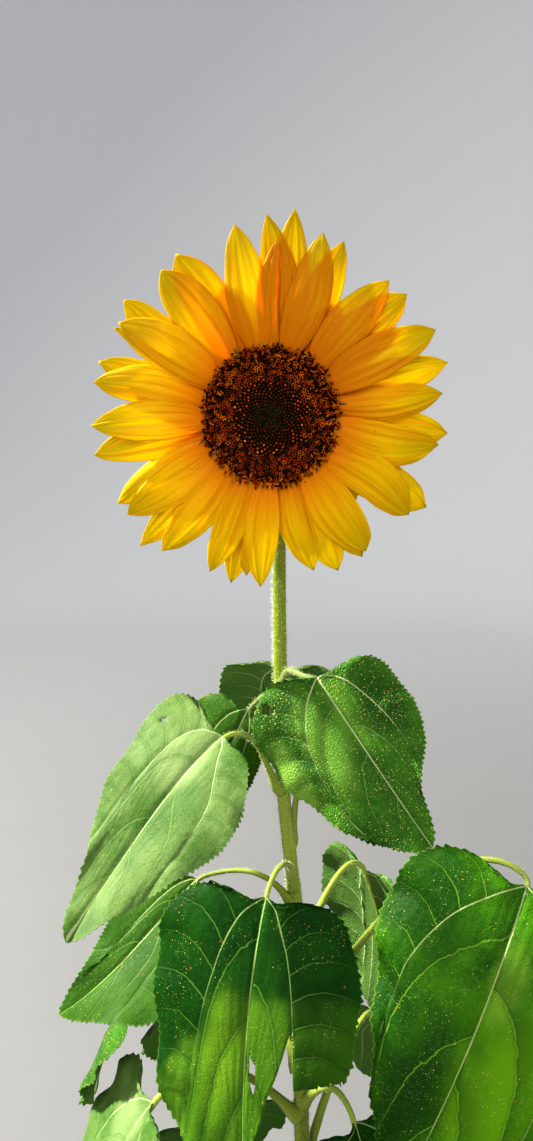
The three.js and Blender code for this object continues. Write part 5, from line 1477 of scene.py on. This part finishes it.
# ---------------------------------------------------------------- floor, light and camera
fm = Mat("floor_pale")
grain = fm.noise(fm.object(), 2.0, 3.0)
x, y, height = fm.split(fm.object())
away = fm.math("SQRT", fm.add(fm.mul(x, x), fm.mul(y, y)))
tone = fm.mix(fm.step(away, 0.8, 6.0), (0.165, 0.167, 0.17), (0.38, 0.385, 0.39))
tone = fm.mix(fm.mul(grain, 0.06), tone, (0.5, 0.5, 0.5))
paper = fm.node("BsdfPrincipled", {"Base Color": tone, "Roughness": 0.95, "Specular IOR Level": 0.1})
shine = fm.node("Emission", {"Color": (0.93, 0.95, 1.0), "Strength": fm.step(away, 1.5, 6.5, 0.0, 0.24)})
both = fm.node("AddShader")
fm.t.links.new(paper.outputs[0], both.inputs[0])
fm.t.links.new(shine.outputs[0], both.inputs[1])
last = fm.node("OutputMaterial")
fm.t.links.new(both.outputs[0], last.inputs[0])
floor = fm.m
profile = [(0.0, 0.0), (3.0, 0.0), (5.2, 0.0)]
for k in range(1, 13):
    t = k / 12 * math.pi / 2
    profile.append((5.2 + 1.8 * math.sin(t), 1.8 * (1 - math.cos(t))))
profile += [(7.0, 3.5), (7.0, 6.5)]
seg = 96
pv, pf = [(0, 0, -0.0005)], []
for i, (r, z) in enumerate(profile[1:]):
    for k in range(seg):
        a = 2 * math.pi * k / seg
        pv.append((r * math.cos(a), r * math.sin(a), z - 0.0005))
for k in range(seg):
    pf.append((0, 1 + k, 1 + (k + 1) % seg))
for i in range(len(profile) - 2):
    for k in range(seg):
        a, b = 1 + i * seg + k, 1 + i * seg + (k + 1) % seg
        pf.append((a, a + seg, b + seg, b))
me = bpy.data.meshes.new("studio_floor")
me.from_pydata(pv, [], pf)
me.update()
me.polygons.foreach_set("use_smooth", np.full(len(pf), True))
me.materials.append(floor)
ob = bpy.data.objects.new("studio_floor", me)
bpy.context.scene.collection.objects.link(ob)


def light(name, place, aim, size, power, color=(1, 1, 1)):
    from mathutils import Vector

    data = bpy.data.lights.new(name, "AREA")
    data.shape = "DISK"
    data.size = size
    data.energy = power
    data.color = color
    lamp = bpy.data.objects.new(name, data)
    lamp.location = place
    lamp.rotation_euler = (Vector(aim) - Vector(place)).to_track_quat("-Z", "Y").to_euler()
    bpy.context.scene.collection.objects.link(lamp)


light("key", (-2.66, 0.62, 3.45), (0, 0, 1.2), 0.28, 620, (1.0, 0.96, 0.87))
light("fill", (-0.9, -3.2, 2.7), (0, 0, 1.1), 2.2, 95, (1.0, 0.98, 0.95))
light("rim", (2.4, -1.2, 2.4), (0, 0, 1.0), 1.6, 24, (1.0, 0.98, 0.95))

world = bpy.data.worlds.new("studio")
bpy.context.scene.world = world
world.use_nodes = True
world.node_tree.nodes["Background"].inputs[0].default_value = (0.86, 0.92, 1.0, 1)
world.node_tree.nodes["Background"].inputs[1].default_value = 0.28

cam = bpy.data.cameras.new("camera")
cam.lens = 27.04
cam.sensor_width = 36
cam.sensor_fit = "AUTO"
cam.clip_end = 60
view = bpy.data.objects.new("camera", cam)
view.location = (-0.030, -0.445, 1.3984)
view.rotation_euler = (rad(80), 0, 0)
bpy.context.scene.collection.objects.link(view)
bpy.context.scene.camera = view
bpy.context.scene.view_settings.view_transform = "Standard"
bpy.context.scene.view_settings.look = "None"
